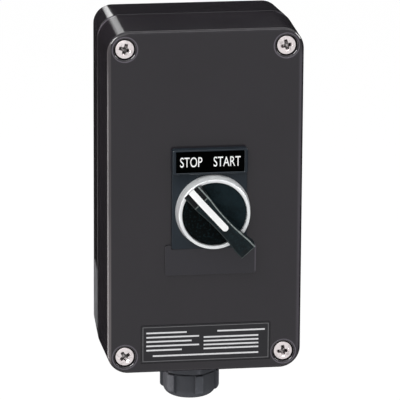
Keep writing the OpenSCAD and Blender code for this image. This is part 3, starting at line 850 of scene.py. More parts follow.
@dataclass(frozen=True)
class TurnedMetal(Finish):
    """Metal with the fine rings of a lathe about one axis, or about four mirrored ones.

    Sunk is how far the heads of recessed screws stand out, or nought for metal without them.
    """

    colour: Colour
    axis: Point
    roughness: float = 0.3
    mirrored: bool = False
    lathe: Grain = (0.12,)
    depth: float = 0.002
    metallic: float = 1.0
    smear: Grain = (2.4, 4.0, 0.6)
    fleck: Grain = (0.5, 3.0)
    fleck_fade: Fade = (0.62, 0.74)
    sunk: float = 0.0
    recess_shade_fade: Fade = (0.25, 1.1)
    recess_shade_reach: Fade = (3.0, 2.8)
    patch: Grain = (1.1, 3.0, 0.4)
    patch_fade: Fade = (0.36, 0.6)
    scuff: Grain = (1.7, 3.0, 0.8)
    scuff_fade: Fade = (0.54, 0.66)
    scuff_depth: float = 0.9

    def dress(self, bench: Bench) -> None:
        """Fills the material's tree."""
        place = bench.place()
        x, y, z = bench.parts(place)
        if self.mirrored:
            x, z = abs(x), abs(z)
        radius = bench.length(x - self.axis[0], z - self.axis[1])
        rings = bench.noise(bench.joined(radius, y, 0.0), *self.lathe)
        smear = bench.noise(place, *self.smear)
        fleck = bench.noise(place, *self.fleck).between(*self.fleck_fade)
        tone = bench.shades(smear, self.colour, 0.9, 1.06)
        tone = bench.blend(fleck * 0.18, tone, shade(self.colour, 0.6))
        if self.sunk:
            # Scuffs on the heads, and painted shade in their recesses.
            deep = (self.sunk + y).between(*self.recess_shade_fade)
            recess_shade = deep * radius.between(*self.recess_shade_reach)
            patch = bench.noise(place, *self.patch).between(*self.patch_fade)
            scuff = bench.noise(place, *self.scuff).between(*self.scuff_fade)
            scuff = scuff * (0.0 - y).between(self.sunk - self.scuff_depth, self.sunk)
            coats = (
                (scuff * 0.55, shade(self.colour, 0.3)),
                (recess_shade * (0.5 + patch * 0.5), shade(self.colour, 0.04)),
            )
            tone = bench.coated(tone, coats)
        bench.surface(
            {
                "Base Color": tone,
                "Metallic": self.metallic,
                "Roughness": self.roughness + (rings - 0.5) * 0.12 + (smear - 0.5) * 0.1,
                "Normal": bench.bump(rings * self.depth, 0.5),
            }
        )


@dataclass(frozen=True)
class PlainMetal(Finish):
    """Stamped, cast or drawn metal with a grain and slight tarnish."""

    colour: Colour
    roughness: float
    grain: float = 0.3
    depth: float = 0.004
    tarnish: Colour = (0.2, 0.15, 0.1)
    tarnished: float = 0.15
    cloud: Grain = (4.0, 4.0, 0.5)
    cloud_fade: Fade = (0.48, 0.72)

    def dress(self, bench: Bench) -> None:
        """Fills the material's tree."""
        place = bench.place()
        grain = bench.noise(place, self.grain, 3.0)
        dull = bench.noise(place, *self.cloud).between(*self.cloud_fade)
        bench.surface(
            {
                "Base Color": bench.blend(dull * self.tarnished, self.colour, self.tarnish),
                "Metallic": 1.0,
                "Roughness": self.roughness + dull * 0.15 + (grain - 0.5) * 0.12,
                "Normal": bench.bump(grain * self.depth, 0.6),
            }
        )


@dataclass(frozen=True)
class Rubber(Finish):
    """Black rubber with a dry bloom."""

    colour: Colour = (0.014, 0.014, 0.014)
    bloom: Grain = (5.0, 4.0)
    bloom_fade: Fade = (0.45, 0.75)
    grain: Grain = (0.2,)

    def dress(self, bench: Bench) -> None:
        """Fills the material's tree."""
        place = bench.place()
        bloom = bench.noise(place, *self.bloom).between(*self.bloom_fade)
        grain = bench.noise(place, *self.grain)
        bench.surface(
            {
                "Base Color": bench.shades(bloom * 0.5, self.colour, 1.0, 2.0),
                "Roughness": 0.72 + bloom * 0.12,
                "Specular IOR Level": 0.25,
                "Normal": bench.bump(grain * 0.015, 0.6),
            }
        )


@dataclass(frozen=True)
class GripPlastic(Finish):
    """Speckled black plastic of disc and lever, with a coat on the lever, a painted sheen on the
    disc, painted highlight lines on the lever and painted shade on its nose.
    """

    # The disc's dark colour, and the lighter colour of its painted sheen.
    disc: tuple[Colour, Colour] = ((0.002, 0.003, 0.003), (0.0115, 0.0205, 0.025))
    lever: Colour = (0.004, 0.009, 0.011)
    # Colour of the nose, painted darker as painted shade.
    nose: Colour = (0.004, 0.004, 0.005)
    # Colour of the painted highlight lines on the lever.
    wear_and_highlight: Colour = (0.27, 0.31, 0.3)
    roughness: float = 0.5
    gloss: float = 0.03
    coat: float = 0.16
    grain: Grain = (0.7, 3.0)
    cloud: Grain = (4.0, 4.0, 0.6)
    speck: Grain = (0.9,)
    speck_fade: Fade = (0.52, 0.64)
    mottle: Grain = (2.6, 3.0, 0.7)
    mottle_fade: Fade = (0.4, 0.66)
    disc_sheen_fade: Fade = (-4.0, 11.0)
    disc_sheen_cloud: float = 18.0
    rise: Fade = (61.2, 62.6)
    top: Fade = (68.6, 69.6)
    widest: float = 3.5
    edge: float = 0.12
    side_highlight_fade: Fade = (0.34, 0.14)
    step: float = 9.8
    step_highlight_fade: Fade = (0.32, 0.12)
    step_highlight_sides: Fade = (1.5, 1.7)
    end: float = -18.5
    end_highlight_fade: Fade = (0.3, 0.14)

    def dress(self, bench: Bench) -> None:
        """Fills the material's tree."""
        place = bench.place()
        x, y, z = bench.parts(place)
        axis = selector_stand()
        turn = math.radians(POINTER_ANGLE)
        c, s = math.cos(turn), math.sin(turn)
        dx, dz, out = x - axis.x, z - axis.z, 0.0 - y
        across, along = dx * c + dz * s, dz * c - dx * s
        proud = out.between(*self.rise)
        grain, cloud = bench.noise(place, *self.grain), bench.noise(place, *self.cloud)
        speck = bench.noise(place, *self.speck).between(*self.speck_fade)
        mottle = bench.noise(place, *self.mottle).between(*self.mottle_fade)

        # Painted highlights: light lines on the lever's waisted sides, round its step and at its
        # end.
        half, radius, back = WAIST
        from_waist = along + back
        side = (from_waist * from_waist / (2 * radius) + half).least(self.widest)
        rub_and_highlight = abs(abs(across) - side + self.edge).between(*self.side_highlight_fade) * out.between(*self.top)
        rub_and_highlight = rub_and_highlight * (across.between(-1.0, 1.0) * 0.8 + 0.1)
        rub_and_highlight = rub_and_highlight.most(abs(along - self.end).between(*self.end_highlight_fade) * 0.35)
        step_highlight = abs(along - self.step).between(*self.step_highlight_fade)
        step_highlight = step_highlight * abs(across).between(*self.step_highlight_sides)
        rub_and_highlight = rub_and_highlight.most(step_highlight * 0.5) * (0.5 + cloud)

        # Painted sheen: the disc lighter towards one side, as if light fell from there.
        disc_sheen = (across + (cloud - 0.5) * self.disc_sheen_cloud).between(*self.disc_sheen_fade)
        # The nose past the step is painted darker, as painted shade.
        nose = along.between(self.step - 0.1, self.step + 0.1)
        lever = bench.coated(
            bench.shades(cloud.between(0.3, 0.7), self.lever, 0.7, 1.25),
            ((nose, self.nose), (rub_and_highlight, self.wear_and_highlight)),
        )
        tone = bench.coated(
            bench.blend(disc_sheen, *self.disc),
            (
                (proud, lever),
                (mottle * (0.35 - proud * 0.2), shade(self.lever, 0.5)),
                (speck * 0.45, shade(self.lever, 2.6)),
            ),
        )
        bench.surface(
            {
                "Base Color": tone,
                "Roughness": self.roughness + (grain - 0.5) * 0.12,
                "Specular IOR Level": self.gloss,
                "Coat Weight": proud * self.coat,
                "Coat Roughness": 0.16,
                "Normal": bench.bump(grain * 0.03, 0.5),
            }
        )


@dataclass(frozen=True)
class BorderedPlate(Finish):
    """Black anodised plate with a fine border, and plain rules where a plate bears its print."""

    colour: Colour = (0.0105, 0.01, 0.013)
    line: Colour = (0.74, 0.74, 0.76)
    half: Point = (26.0, 7.8)
    inset: float = 0.7
    border: Fade = (0.154, 0.088)
    border_cover: float = 0.2
    rule: Fade = (0.374, 0.264)
    rules: tuple[Triple, ...] = (
        (4.7, -23.6, -8.0),
        (2.9, -23.6, -3.0),
        (1.1, -23.6, -6.0),
        (-0.7, -23.6, -3.0),
        (-2.5, -23.6, -10.0),
        (4.7, 5.0, 23.6),
        (2.3, -0.5, 21.0),
        (0.7, -0.5, 21.0),
        (-0.9, -0.5, 21.0),
        (-2.5, -0.5, 21.0),
        (-4.9, -21.0, 21.0),
    )

    def dress(self, bench: Bench) -> None:
        """Fills the material's tree."""
        place = bench.place()
        x, _, z = bench.parts(place)
        dx, dz = x - NAMEPLATE[0], z - NAMEPLATE[1]
        edge = (abs(dx) - (self.half[0] - self.inset)).most(abs(dz) - (self.half[1] - self.inset))
        marks = abs(edge).between(*self.border) * self.border_cover
        for height, left, right in self.rules:
            near = abs(dz - height).most(abs(dx - (left + right) / 2) - (right - left) / 2)
            marks = marks.most(near.between(*self.rule))
        brushed = bench.noise(bench.joined(x * 0.02, 0.0, dz), 0.12)
        base = bench.shades(bench.noise(place, 7.0, 3.0), self.colour, 0.85, 1.15)
        bench.surface(
            {
                "Base Color": bench.blend(marks, base, self.line),
                "Roughness": 0.4 + (brushed - 0.5) * 0.16,
                "Specular IOR Level": 0.3,
                "Normal": bench.bump(brushed * 0.002 + marks * 0.01, 0.5),
            }
        )


class Palette:
    """Every finish of the station, made into a material the first time that it's asked for."""

    def __init__(self, finishes: Iterable[Finish]) -> None:
        """Keeps the finishes by slot."""
        self.finishes = {finish.slot: finish for finish in finishes}
        self.materials: dict[Slot, bpy.types.Material] = {}

    def __getitem__(self, slot: Slot) -> bpy.types.Material:
        """Gives a slot's material."""
        if slot not in self.materials:
            self.materials[slot] = self.finishes[slot].material()
        return self.materials[slot]

    def paint(self, piece: Piece, slot: Slot) -> None:
        """Gives a piece the one material of a slot."""
        piece.data.materials.clear()
        piece.data.materials.append(self[slot])


# Sub-assemblies


@dataclass
class SubAssembly(ABC):
    """A sub-assembly: its sizes, and the pieces made from them."""

    palette: Palette

    @abstractmethod
    def build(self) -> None:
        """Makes and dresses the pieces."""

    def seat(
        self, piece: Piece, slot: Slot, nodes: Sequence[str] = (), body: Body = Body.STATION
    ) -> None:
        """Dresses a piece and puts it on its body.

        Args:
            piece: The piece.
            slot: The slot of its finish.
            nodes: The CAD nodes that it stands for.
            body: The body that carries it.
        """
        self.palette.paint(piece, slot)
        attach(piece, body.value)
        if nodes:
            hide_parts(*nodes)
        LOG.info("%s on %s in %s", piece.name, body.value, slot.value)


@dataclass
class Enclosure(SubAssembly):
    """Base and lid."""

    corner: float = 9.0
    corner_steps: int = 20
    wall: float = 2.5
    base_draft: float = 1.4
    lid_draft: float = 0.5
    front_edge: float = 1.5
    rear_edge: float = 0.8
    lid_lip: float = 0.35
    base_lip: float = 0.18
    face: float = 3.0
    rear: float = 3.0
    screw_side: float = 7.0
    counterbore: float = 5.0
    counterbore_mouth: float = 4.15
    counterbore_edge: float = 0.85
    counterbore_wide: float = 1.0
    counterbore_narrow: float = 1.3
    counterbore_over: float = 0.6
    seat_depth: float = 3.5
    lid_bore: float = 2.15
    lid_column: float = 6.2
    base_column: float = 5.0
    recess: Point = (52.3, 15.9)
    recess_corner: Point = (0.5, 0.4)
    recess_depth: float = 0.4
    recess_edge: float = 0.1
    fixing: Point = (26.0, 50.0)
    fixing_hole: float = 2.65
    fixing_mouth: Point = (3.85, -0.8)
    fixing_chamfer: float = 0.4
    fixing_pad: float = 5.5
    fixing_pad_height: float = 2.0
    thread_bore: float = 2.0
    thread_end: float = 13.8
    boss: Point = (-21.0, -36.0)
    boss_radius: float = 4.5
    boss_height: float = 5.0
    gland_pad: float = 12.2
    gland_pad_out: float = 0.4
    gland_pad_edge: float = 0.3
    gland_hole: float = 8.05

    def __post_init__(self) -> None:
        """Reads the rims' size and the depths from the frame."""
        base, lid = Box("base"), Box("lid")
        self.width, self.height = lid.width, lid.height
        self.base_depth = base.high.y - base.low.y
        self.lid_rim, self.front = lid.back, lid.front
        x, z = (size / 2 - self.lid_draft - self.screw_side for size in (lid.width, lid.height))
        self.screws = [(sx * x, sz * z) for sx, sz in QUADRANTS]

    def ring(self, inset: float, depth: float) -> tuple[Outline, float]:
        """Draws the rims' outline, drawn in by an inset, at a depth."""
        size = (self.width - 2 * inset, self.height - 2 * inset, self.corner - inset)
        return rounded(*size, self.corner_steps), depth

    def lid(self) -> Piece:
        """Makes the lid, hollow, with its columns, counterbores and openings."""
        lip, inside = self.lid_lip, self.front - self.face
        rings = [self.ring(lip - rise, self.lid_rim + inset) for inset, rise in arc(lip, 4)]
        rings += [
            self.ring(self.lid_draft + inset, self.front - self.front_edge + rise)
            for inset, rise in arc(self.front_edge, 10)
        ]
        lid = Form("lid_shell").skin(rings).made()
        hollow = Form("hollow").skin(
            [
                self.ring(self.wall, self.lid_rim - OVER),
                self.ring(self.wall, self.lid_rim),
                self.ring(self.wall + self.lid_draft, inside),
            ]
        ).made()
        span = (self.lid_rim - 2 * OVER, inside + OVER)
        carve(hollow, rods("column", self.lid_column, span, self.screws))
        seat = self.front - self.seat_depth
        mouth, edge = self.counterbore_mouth, self.counterbore_edge
        profile = [(self.counterbore, seat), (self.counterbore, seat + self.counterbore_wide)]
        profile += [(mouth, seat + self.counterbore_narrow)]
        profile += [(mouth + inset, self.front - edge + rise) for inset, rise in arc(edge, 6)]
        profile += [(mouth + edge, self.front + self.counterbore_over)]
        tools = [hollow]
        tools += [turned("counterbore", Stand(x=x, z=z), profile) for x, z in self.screws]
        tools += rods("bore", self.lid_bore, (self.lid_rim - OVER, self.front), self.screws)
        axis = selector_stand()
        span = (inside - OVER, self.front + OVER)
        tools += rods("opening", SELECTOR_HOLE, span, [(axis.x, axis.z)])
        stand = Stand(x=NAMEPLATE[0], z=NAMEPLATE[1])
        span = (self.front - self.recess_depth, self.front + OVER)
        shape = (self.recess, self.recess_corner, span, self.recess_edge, (3, 4))
        tools.append(slab("recess", stand, *shape))
        return smooth(carve(lid, tools))

    def base(self) -> Piece:
        """Makes the base, hollow, with its columns, pads, bosses and openings."""
        edge, lip, depth = self.rear_edge, self.base_lip, self.base_depth
        rings = [self.ring(self.base_draft + i, edge - rise) for i, rise in reversed(arc(edge, 6))]
        rings += [self.ring(inset, depth - lip + rise) for inset, rise in arc(lip, 3)]
        base = Form("base_shell").skin(rings).made()
        hollow = Form("hollow").skin(
            [
                self.ring(self.wall + self.base_draft, self.rear),
                self.ring(self.wall, depth),
                self.ring(self.wall, depth + OVER),
            ]
        ).made()
        fixings = [(sx * self.fixing[0], sz * self.fixing[1]) for sx in (-1, 1) for sz in (-1, 1)]
        pad_top, boss_top = self.rear + self.fixing_pad_height, self.rear + self.boss_height
        for name, radius, top, at in (
            ("column", self.base_column, depth + 2 * OVER, self.screws),
            ("pad", self.fixing_pad, pad_top, fixings),
            ("boss", self.boss_radius, boss_top, [self.boss]),
        ):
            carve(hollow, rods(name, radius, (self.rear - OVER, top), at))
        carve(base, [hollow])
        down = Stand(y=-GLAND_OFF_WALL, axis=Axis.UPRIGHT)
        inner = self.wall + self.base_draft - self.height / 2
        low, edge = -self.height / 2 - self.gland_pad_out, self.gland_pad_edge
        pad = [(self.gland_pad - i, low + edge - rise) for i, rise in reversed(arc(edge, 3))]
        carve(base, [turned("pad", down, pad + [(self.gland_pad, inner)])], Cut.JOIN)
        tools = rods("bore", self.thread_bore, (self.thread_end, depth + OVER), self.screws)
        hole = self.fixing_hole
        profile = [self.fixing_mouth, (hole, self.fixing_chamfer), (hole, pad_top + OVER)]
        tools += [turned("hole", Stand(x=x, z=z), profile, 64) for x, z in fixings]
        tools += rods("bore", self.thread_bore, (self.rear, boss_top + OVER), [self.boss])
        tools.append(rod("hole", down, self.gland_hole, (low - OVER, inner + OVER)))
        return smooth(carve(base, tools))

    def build(self) -> None:
        """Makes and dresses the pieces."""
        self.seat(self.lid(), Slot.ENCLOSURE, ["lid"])
        self.seat(self.base(), Slot.ENCLOSURE, ["base"])


@dataclass
class LidScrews(SubAssembly):
    """The four screws in the lid's corners."""

    shank: float = 1.95
    chamfer: float = 0.5
    head_radius: float = 3.8
    head_height: float = 2.4
    head_rim: float = 0.1
    head_edge: float = 0.3
    head_crown: float = 0.45
    head_steps: int = 8
    head_middle: float = 0.05
    recess_top: Point = (2.55, 0.66)
    recess_bottom: Point = (1.2, 0.42)
    recess_depth: float = 1.6
    recess_over: float = 0.5
    recess_web: Point = (1.5, 1.15)
    turns: tuple[float, ...] = (12.0, -17.0, 31.0, 4.0)
    sharp: float = 40.0

    def __post_init__(self) -> None:
        """Reads the heads' places and reach from the frame."""
        box = Box("lid_screws")
        self.head_top, self.tip = box.front, box.back
        self.place = (box.high.x - self.head_radius, box.high.z - self.head_radius)

    def plus(self, arm: float, half: float) -> Outline:
        """Draws a plus sign with filled inner corners from its arms' length and half width."""
        far, near = (half * web for web in self.recess_web)
        quarter = [(arm, -half), (arm, half), (far, near), (near, far)]
        return [(c * u - s * v, s * u + c * v) for c, s in QUARTER_TURNS for u, v in quarter]

    def cross(self, stand: Stand) -> Piece:
        """Makes the tapered cross that sinks the drive recess."""
        grown = 1 + self.recess_over / self.recess_depth
        flare = (b + (t - b) * grown for t, b in zip(self.recess_top, self.recess_bottom))
        bottom = (self.plus(*self.recess_bottom), self.head_top - self.recess_depth)
        top = (self.plus(*flare), self.head_top + self.recess_over)
        return Form("cross", stand).skin([bottom, top]).made()

    def screw(self, stand: Stand) -> Piece:
        """Makes one screw with a low domed head."""
        top, radius, edge, crown = self.head_top, self.head_radius, self.head_edge, self.head_crown
        seat, side = top - self.head_height, top - crown - edge
        profile = [(self.shank - self.chamfer, self.tip), (self.shank, self.tip + self.chamfer)]
        profile += [(self.shank, seat), (radius - self.head_rim, seat)]
        profile += [(radius, seat + self.head_rim)]
        profile += [(radius - inset, side + rise) for inset, rise in arc(edge, 5)]
        for part in (1 - i / self.head_steps for i in range(1, self.head_steps + 1)):
            across = max((radius - edge) * part, self.head_middle)
            profile.append((across, top - crown * part * part))
        return carve(turned("lid_screw", stand, profile, 72), [self.cross(stand)])

    def build(self) -> None:
        """Makes and dresses the pieces."""
        x, z = self.place
        for number, ((sx, sz), turn) in enumerate(zip(QUADRANTS, self.turns), 1):
            screw = smooth(self.screw(Stand(x=sx * x, z=sz * z, turn=turn)), self.sharp)
            screw.name = f"lid_screw_{number}"
            self.seat(screw, Slot.SCREW_STEEL, ["lid_screws"] if number == 1 else [])


@dataclass
class Plates(SubAssembly):
    """Legend holder with its insert and words, the plain plate below, and the nameplate."""

    sheet: float = 1.6
    sheet_edge: float = 0.3
    rim_edge: float = 0.45
    corner: Point = (0.9, 0.5)
    insert_depth: float = 1.4
    insert_gap: float = 0.1
    recess_corner: float = 0.3
    recess_flare: float = 0.8
    recess_chamfer: float = 0.2
    words: tuple[tuple[str, float, float], ...] = (("STOP", -7.6, 8.8), ("START", 6.7, 10.8))
    letter_height: float = 4.05
    letter_rise: float = 0.04
    letter_sink: float = 0.01
    letter_offset: float = 0.004
    letter_extrude: float = 0.01
    letter_steps: int = 6
    notch_gap: float = 0.15

    def __post_init__(self) -> None:
        """Reads the holder's and the insert's boxes from the frame."""
        self.box = Box("legend_holder")
        self.insert = Box("legend_insert")

    def holder(self) -> Piece:
        """Makes the holder: a plate with a raised frame round the legend."""
        box, insert = self.box, self.insert
        upper = Stand(x=box.x, z=insert.z)
        rim_height = 2 * (box.high.z - insert.z)
        span = (box.back, box.back + self.sheet)
        shape = ((box.width, box.height), self.corner, span, self.sheet_edge, (4, 4))
        body = slab("legend_frame", box.stand, *shape)
        span = (box.back, box.front)
        shape = ((box.width, rim_height), self.corner, span, self.rim_edge, (4, 5))
        carve(body, [slab("rim", upper, *shape)], Cut.JOIN)
        w, h = insert.width + self.insert_gap, insert.height + self.insert_gap
        r, flare, chamfer = self.recess_corner, self.recess_flare, self.recess_chamfer
        recess = Form("recess", upper).skin(
            [
                (rounded(w, h, r, 3), box.front - self.insert_depth),
                (rounded(w, h, r, 3), box.front - chamfer),
                (rounded(w + flare, h + flare, 2 * r, 3), box.front + chamfer),
            ]
        ).made()
        span = (box.back - OVER, box.back + 3 * OVER)
        opening = rod("opening", selector_stand(), SELECTOR_HOLE, span)
        return smooth(carve(body, [recess, opening]))

    def word(self, text: str, centre: float, width: float) -> Piece:
        """Makes one word in low relief on the insert.

        Args:
            text: The word.
            centre: Its middle, across from the insert's middle.
            width: Its width.

        Returns:
            The word as a mesh.
        """
        drawn = bpy.data.curves.new(text, "FONT")
        drawn.body = text
        drawn.offset = self.letter_offset
        drawn.extrude = self.letter_extrude
        drawn.resolution_u = self.letter_steps
        holder = linked(text, drawn)
        mesh = evaluated(holder)
        bpy.data.objects.remove(holder)
        bpy.data.curves.remove(drawn)
        ends = [(min(c), max(c)) for c in zip(*(tuple(v.co) for v in mesh.vertices))]
        (left, right), (foot, head), (under, over) = ends
        stand = Stand(x=self.insert.x + centre, z=self.insert.z)
        base = self.insert.front - self.letter_sink
        for v in mesh.vertices:
            u = (v.co.x - (left + right) / 2) * width / (right - left)
            w = (v.co.y - (foot + head) / 2) * self.letter_height / (head - foot)
            h = (v.co.z - under) / (over - under)
            v.co = stand.place(u, w, base + h * self.letter_rise) * MM
        return clean(linked(f"legend_{text.lower()}", mesh))

    def lower(self) -> Piece:
        """Makes the plain plate below the holder, cut out for it."""
        box = Box("lower_plate")
        half, low = self.box.width / 2 + self.notch_gap, self.box.low.z - self.notch_gap
        notch = [(-half, low), (half, low), (half, 0), (-half, 0)]
        span = (box.back - OVER, box.front + OVER)
        tool = Form("notch", Stand(x=self.box.x)).skin([(notch, f) for f in span]).made()
        return carve(filling("plain_plate", box, (1.0, 0.5), 0.15, (5, 4)), [tool])

    def build(self) -> None:
        """Makes and dresses the pieces."""
        self.seat(self.holder(), Slot.HOLDER, ["legend_holder"])
        insert = filling("legend_plate", self.insert, (0.25, 0.0), 0.12, (3, 3))
        self.seat(smooth(insert), Slot.LEGEND_BLACK, ["legend_insert"])
        for text, centre, width in self.words:
            self.seat(self.word(text, centre, width), Slot.MARKER_WHITE)
        self.seat(smooth(self.lower()), Slot.ENCLOSURE, ["lower_plate"])
        plate = filling("blank_plate", Box("nameplate"), (0.4, 0.0), 0.1, (4, 3))
        self.seat(smooth(plate), Slot.NAMEPLATE_BLACK, ["nameplate"])


@dataclass
class Selector(SubAssembly):
    """The bezel, and the handle with its white marker."""

    bezel_front: float = 14.2
    bezel_bore: float = 12.85
    bezel_step: float = 14.45
    bezel_step_depth: float = 58.8
    bezel_foot_edge: float = 0.15
    bezel_round: float = 0.3
    bezel_bore_round: float = 0.4
    pointer: float = 15.8
    grip: float = 18.6
    foot: float = 11.4
    top_width: float = 7.0
    foot_width: float = 8.8
    nose: Point = (6.0, 1.6)
    undercut: float = 3.0
    tail: Point = (2.6, 1.2)
    overhang: float = 0.4
    rounding: Rounding = (0.45, 4, 20.0)
    sharp: float = 28.0
    marker: Triple = (2.6, 21.3, 0.8)
    marker_gap: float = 0.04
    marker_steps: int = 16
    peg: Triple = (2.7, 6.0, 0.3)

    def __post_init__(self) -> None:
        """Reads the depths from the frame."""
        self.ring = Box("bezel_ring")
        self.disc_face = Box("turning_disc").front
        self.handle_top = Box("selector_handle").front
        self.under = self.ring.front + self.overhang
        self.lever = selector_stand(POINTER_ANGLE)

    def bezel(self) -> Piece:
        """Makes the conical bezel with rounded lips."""
        r, bore, foot = self.bezel_round, self.bezel_bore_round, self.ring.width / 2
        back, front = self.ring.back, self.ring.front
        side = self.bezel_front + (foot - self.bezel_front) / (front - back) * r
        section = [(self.bezel_step, back), (foot - self.bezel_foot_edge, back)]
        section += [(foot, back + self.bezel_foot_edge)]
        section += [(side - inset, front - r + rise) for inset, rise in arc(r, 5)]
        for inset, rise in reversed(arc(bore, 5)):
            section.append((self.bezel_bore + inset, front - bore + rise))
        section += [(self.bezel_bore, self.bezel_step_depth)]
        section += [(self.bezel_step, self.bezel_step_depth)]
        return smooth(turned("chrome_bezel", selector_stand(), section, 160, looped=True))

    def side(self, sink: float) -> Outline:
        """Draws the handle's side, x towards the pointer and y the depth, lowered by a sink."""
        over, top = self.under, self.handle_top
        drawn = [
            (-self.grip, over),
            (-self.foot, over),
            (-self.foot, self.disc_face),
            (self.foot, self.disc_face),
            (self.foot, over),
            (self.pointer - self.undercut, over),
            (self.pointer, top - self.nose[1]),
            (self.pointer - self.nose[0], top),
            (self.tail[0] - self.grip, top),
            (-self.grip, top - self.tail[1]),
        ]
        return [(along, depth - sink) for along, depth in drawn]

    def across(self, name: str, sink: float = 0.0) -> Piece:
        """Draws the handle's side, lowered by a sink, out to well past its width."""
        ends = (-self.foot_width, self.foot_width)
        rows = [[(w, along, depth) for along, depth in self.side(sink)] for w in ends]
        return Form(name, self.lever).sweep(rows).made()

    def slot_tool(self, grow: float) -> Piece:
        """Makes the solid that the marker fills, widened all round by grow."""
        width, length, thick = self.marker
        half, steps = width / 2 + grow, self.marker_steps
        start, end = self.pointer - length + width / 2, self.pointer + OVER
        outline = [(half, end), (-half, end)]
        for angle in (math.pi * i / steps for i in range(steps + 1)):
            outline.append((-half * math.cos(angle), start - half * math.sin(angle)))
        span = (self.under + thick, self.handle_top + 2 * OVER)
        tool = Form("slot", self.lever).skin([(outline, height) for height in span]).made()
        return carve(tool, [self.across("core", thick)])

    def handle(self) -> tuple[Piece, Piece]:
        """Makes the handle and the marker let into it."""
        blank = self.across("long_handle")
        low, high = self.disc_face, self.handle_top
        foot, top = self.foot_width / 2, self.top_width / 2
        section = ((-foot, low), (foot, low), (top, high), (-top, high))
        ends = (-self.grip - OVER, self.pointer + OVER)
        wedge = Form("wedge", self.lever).sweep([[(w, s, f) for w, f in section] for s in ends])
        carve(blank, [wedge.made()], Cut.KEEP)
        half, radius, back = WAIST
        for side in (-1, 1):
            rim = [(side * (half + radius) + u, v - back) for u, v in circle(radius, 360)]
            drum = Form("drum", self.lever).skin([(rim, low - OVER), (rim, high + OVER)])
            carve(blank, [drum.made()])
        soften(blank, *self.rounding)
        marker = linked("white_marker", blank.data.copy())
        carve(marker, [self.slot_tool(0.0)], Cut.KEEP)
        radius, length, chamfer = self.peg
        peg = [(radius - chamfer, low - length), (radius, low - length + chamfer)]
        peg += [(radius, low + OVER)]
        carve(blank, [self.slot_tool(self.marker_gap)])
        carve(blank, [turned("peg", self.lever, peg, 48)], Cut.JOIN)
        return smooth(blank, self.sharp), smooth(marker, self.sharp)

    def build(self) -> None:
        """Makes and dresses the pieces."""
        self.seat(self.bezel(), Slot.SATIN_CHROME, ["bezel_ring"])
        handle, marker = self.handle()
        self.seat(handle, Slot.HANDLE_BLACK, ["selector_handle"], Body.SELECTOR)
        self.seat(marker, Slot.MARKER_WHITE, ["handle_marker"], Body.SELECTOR)


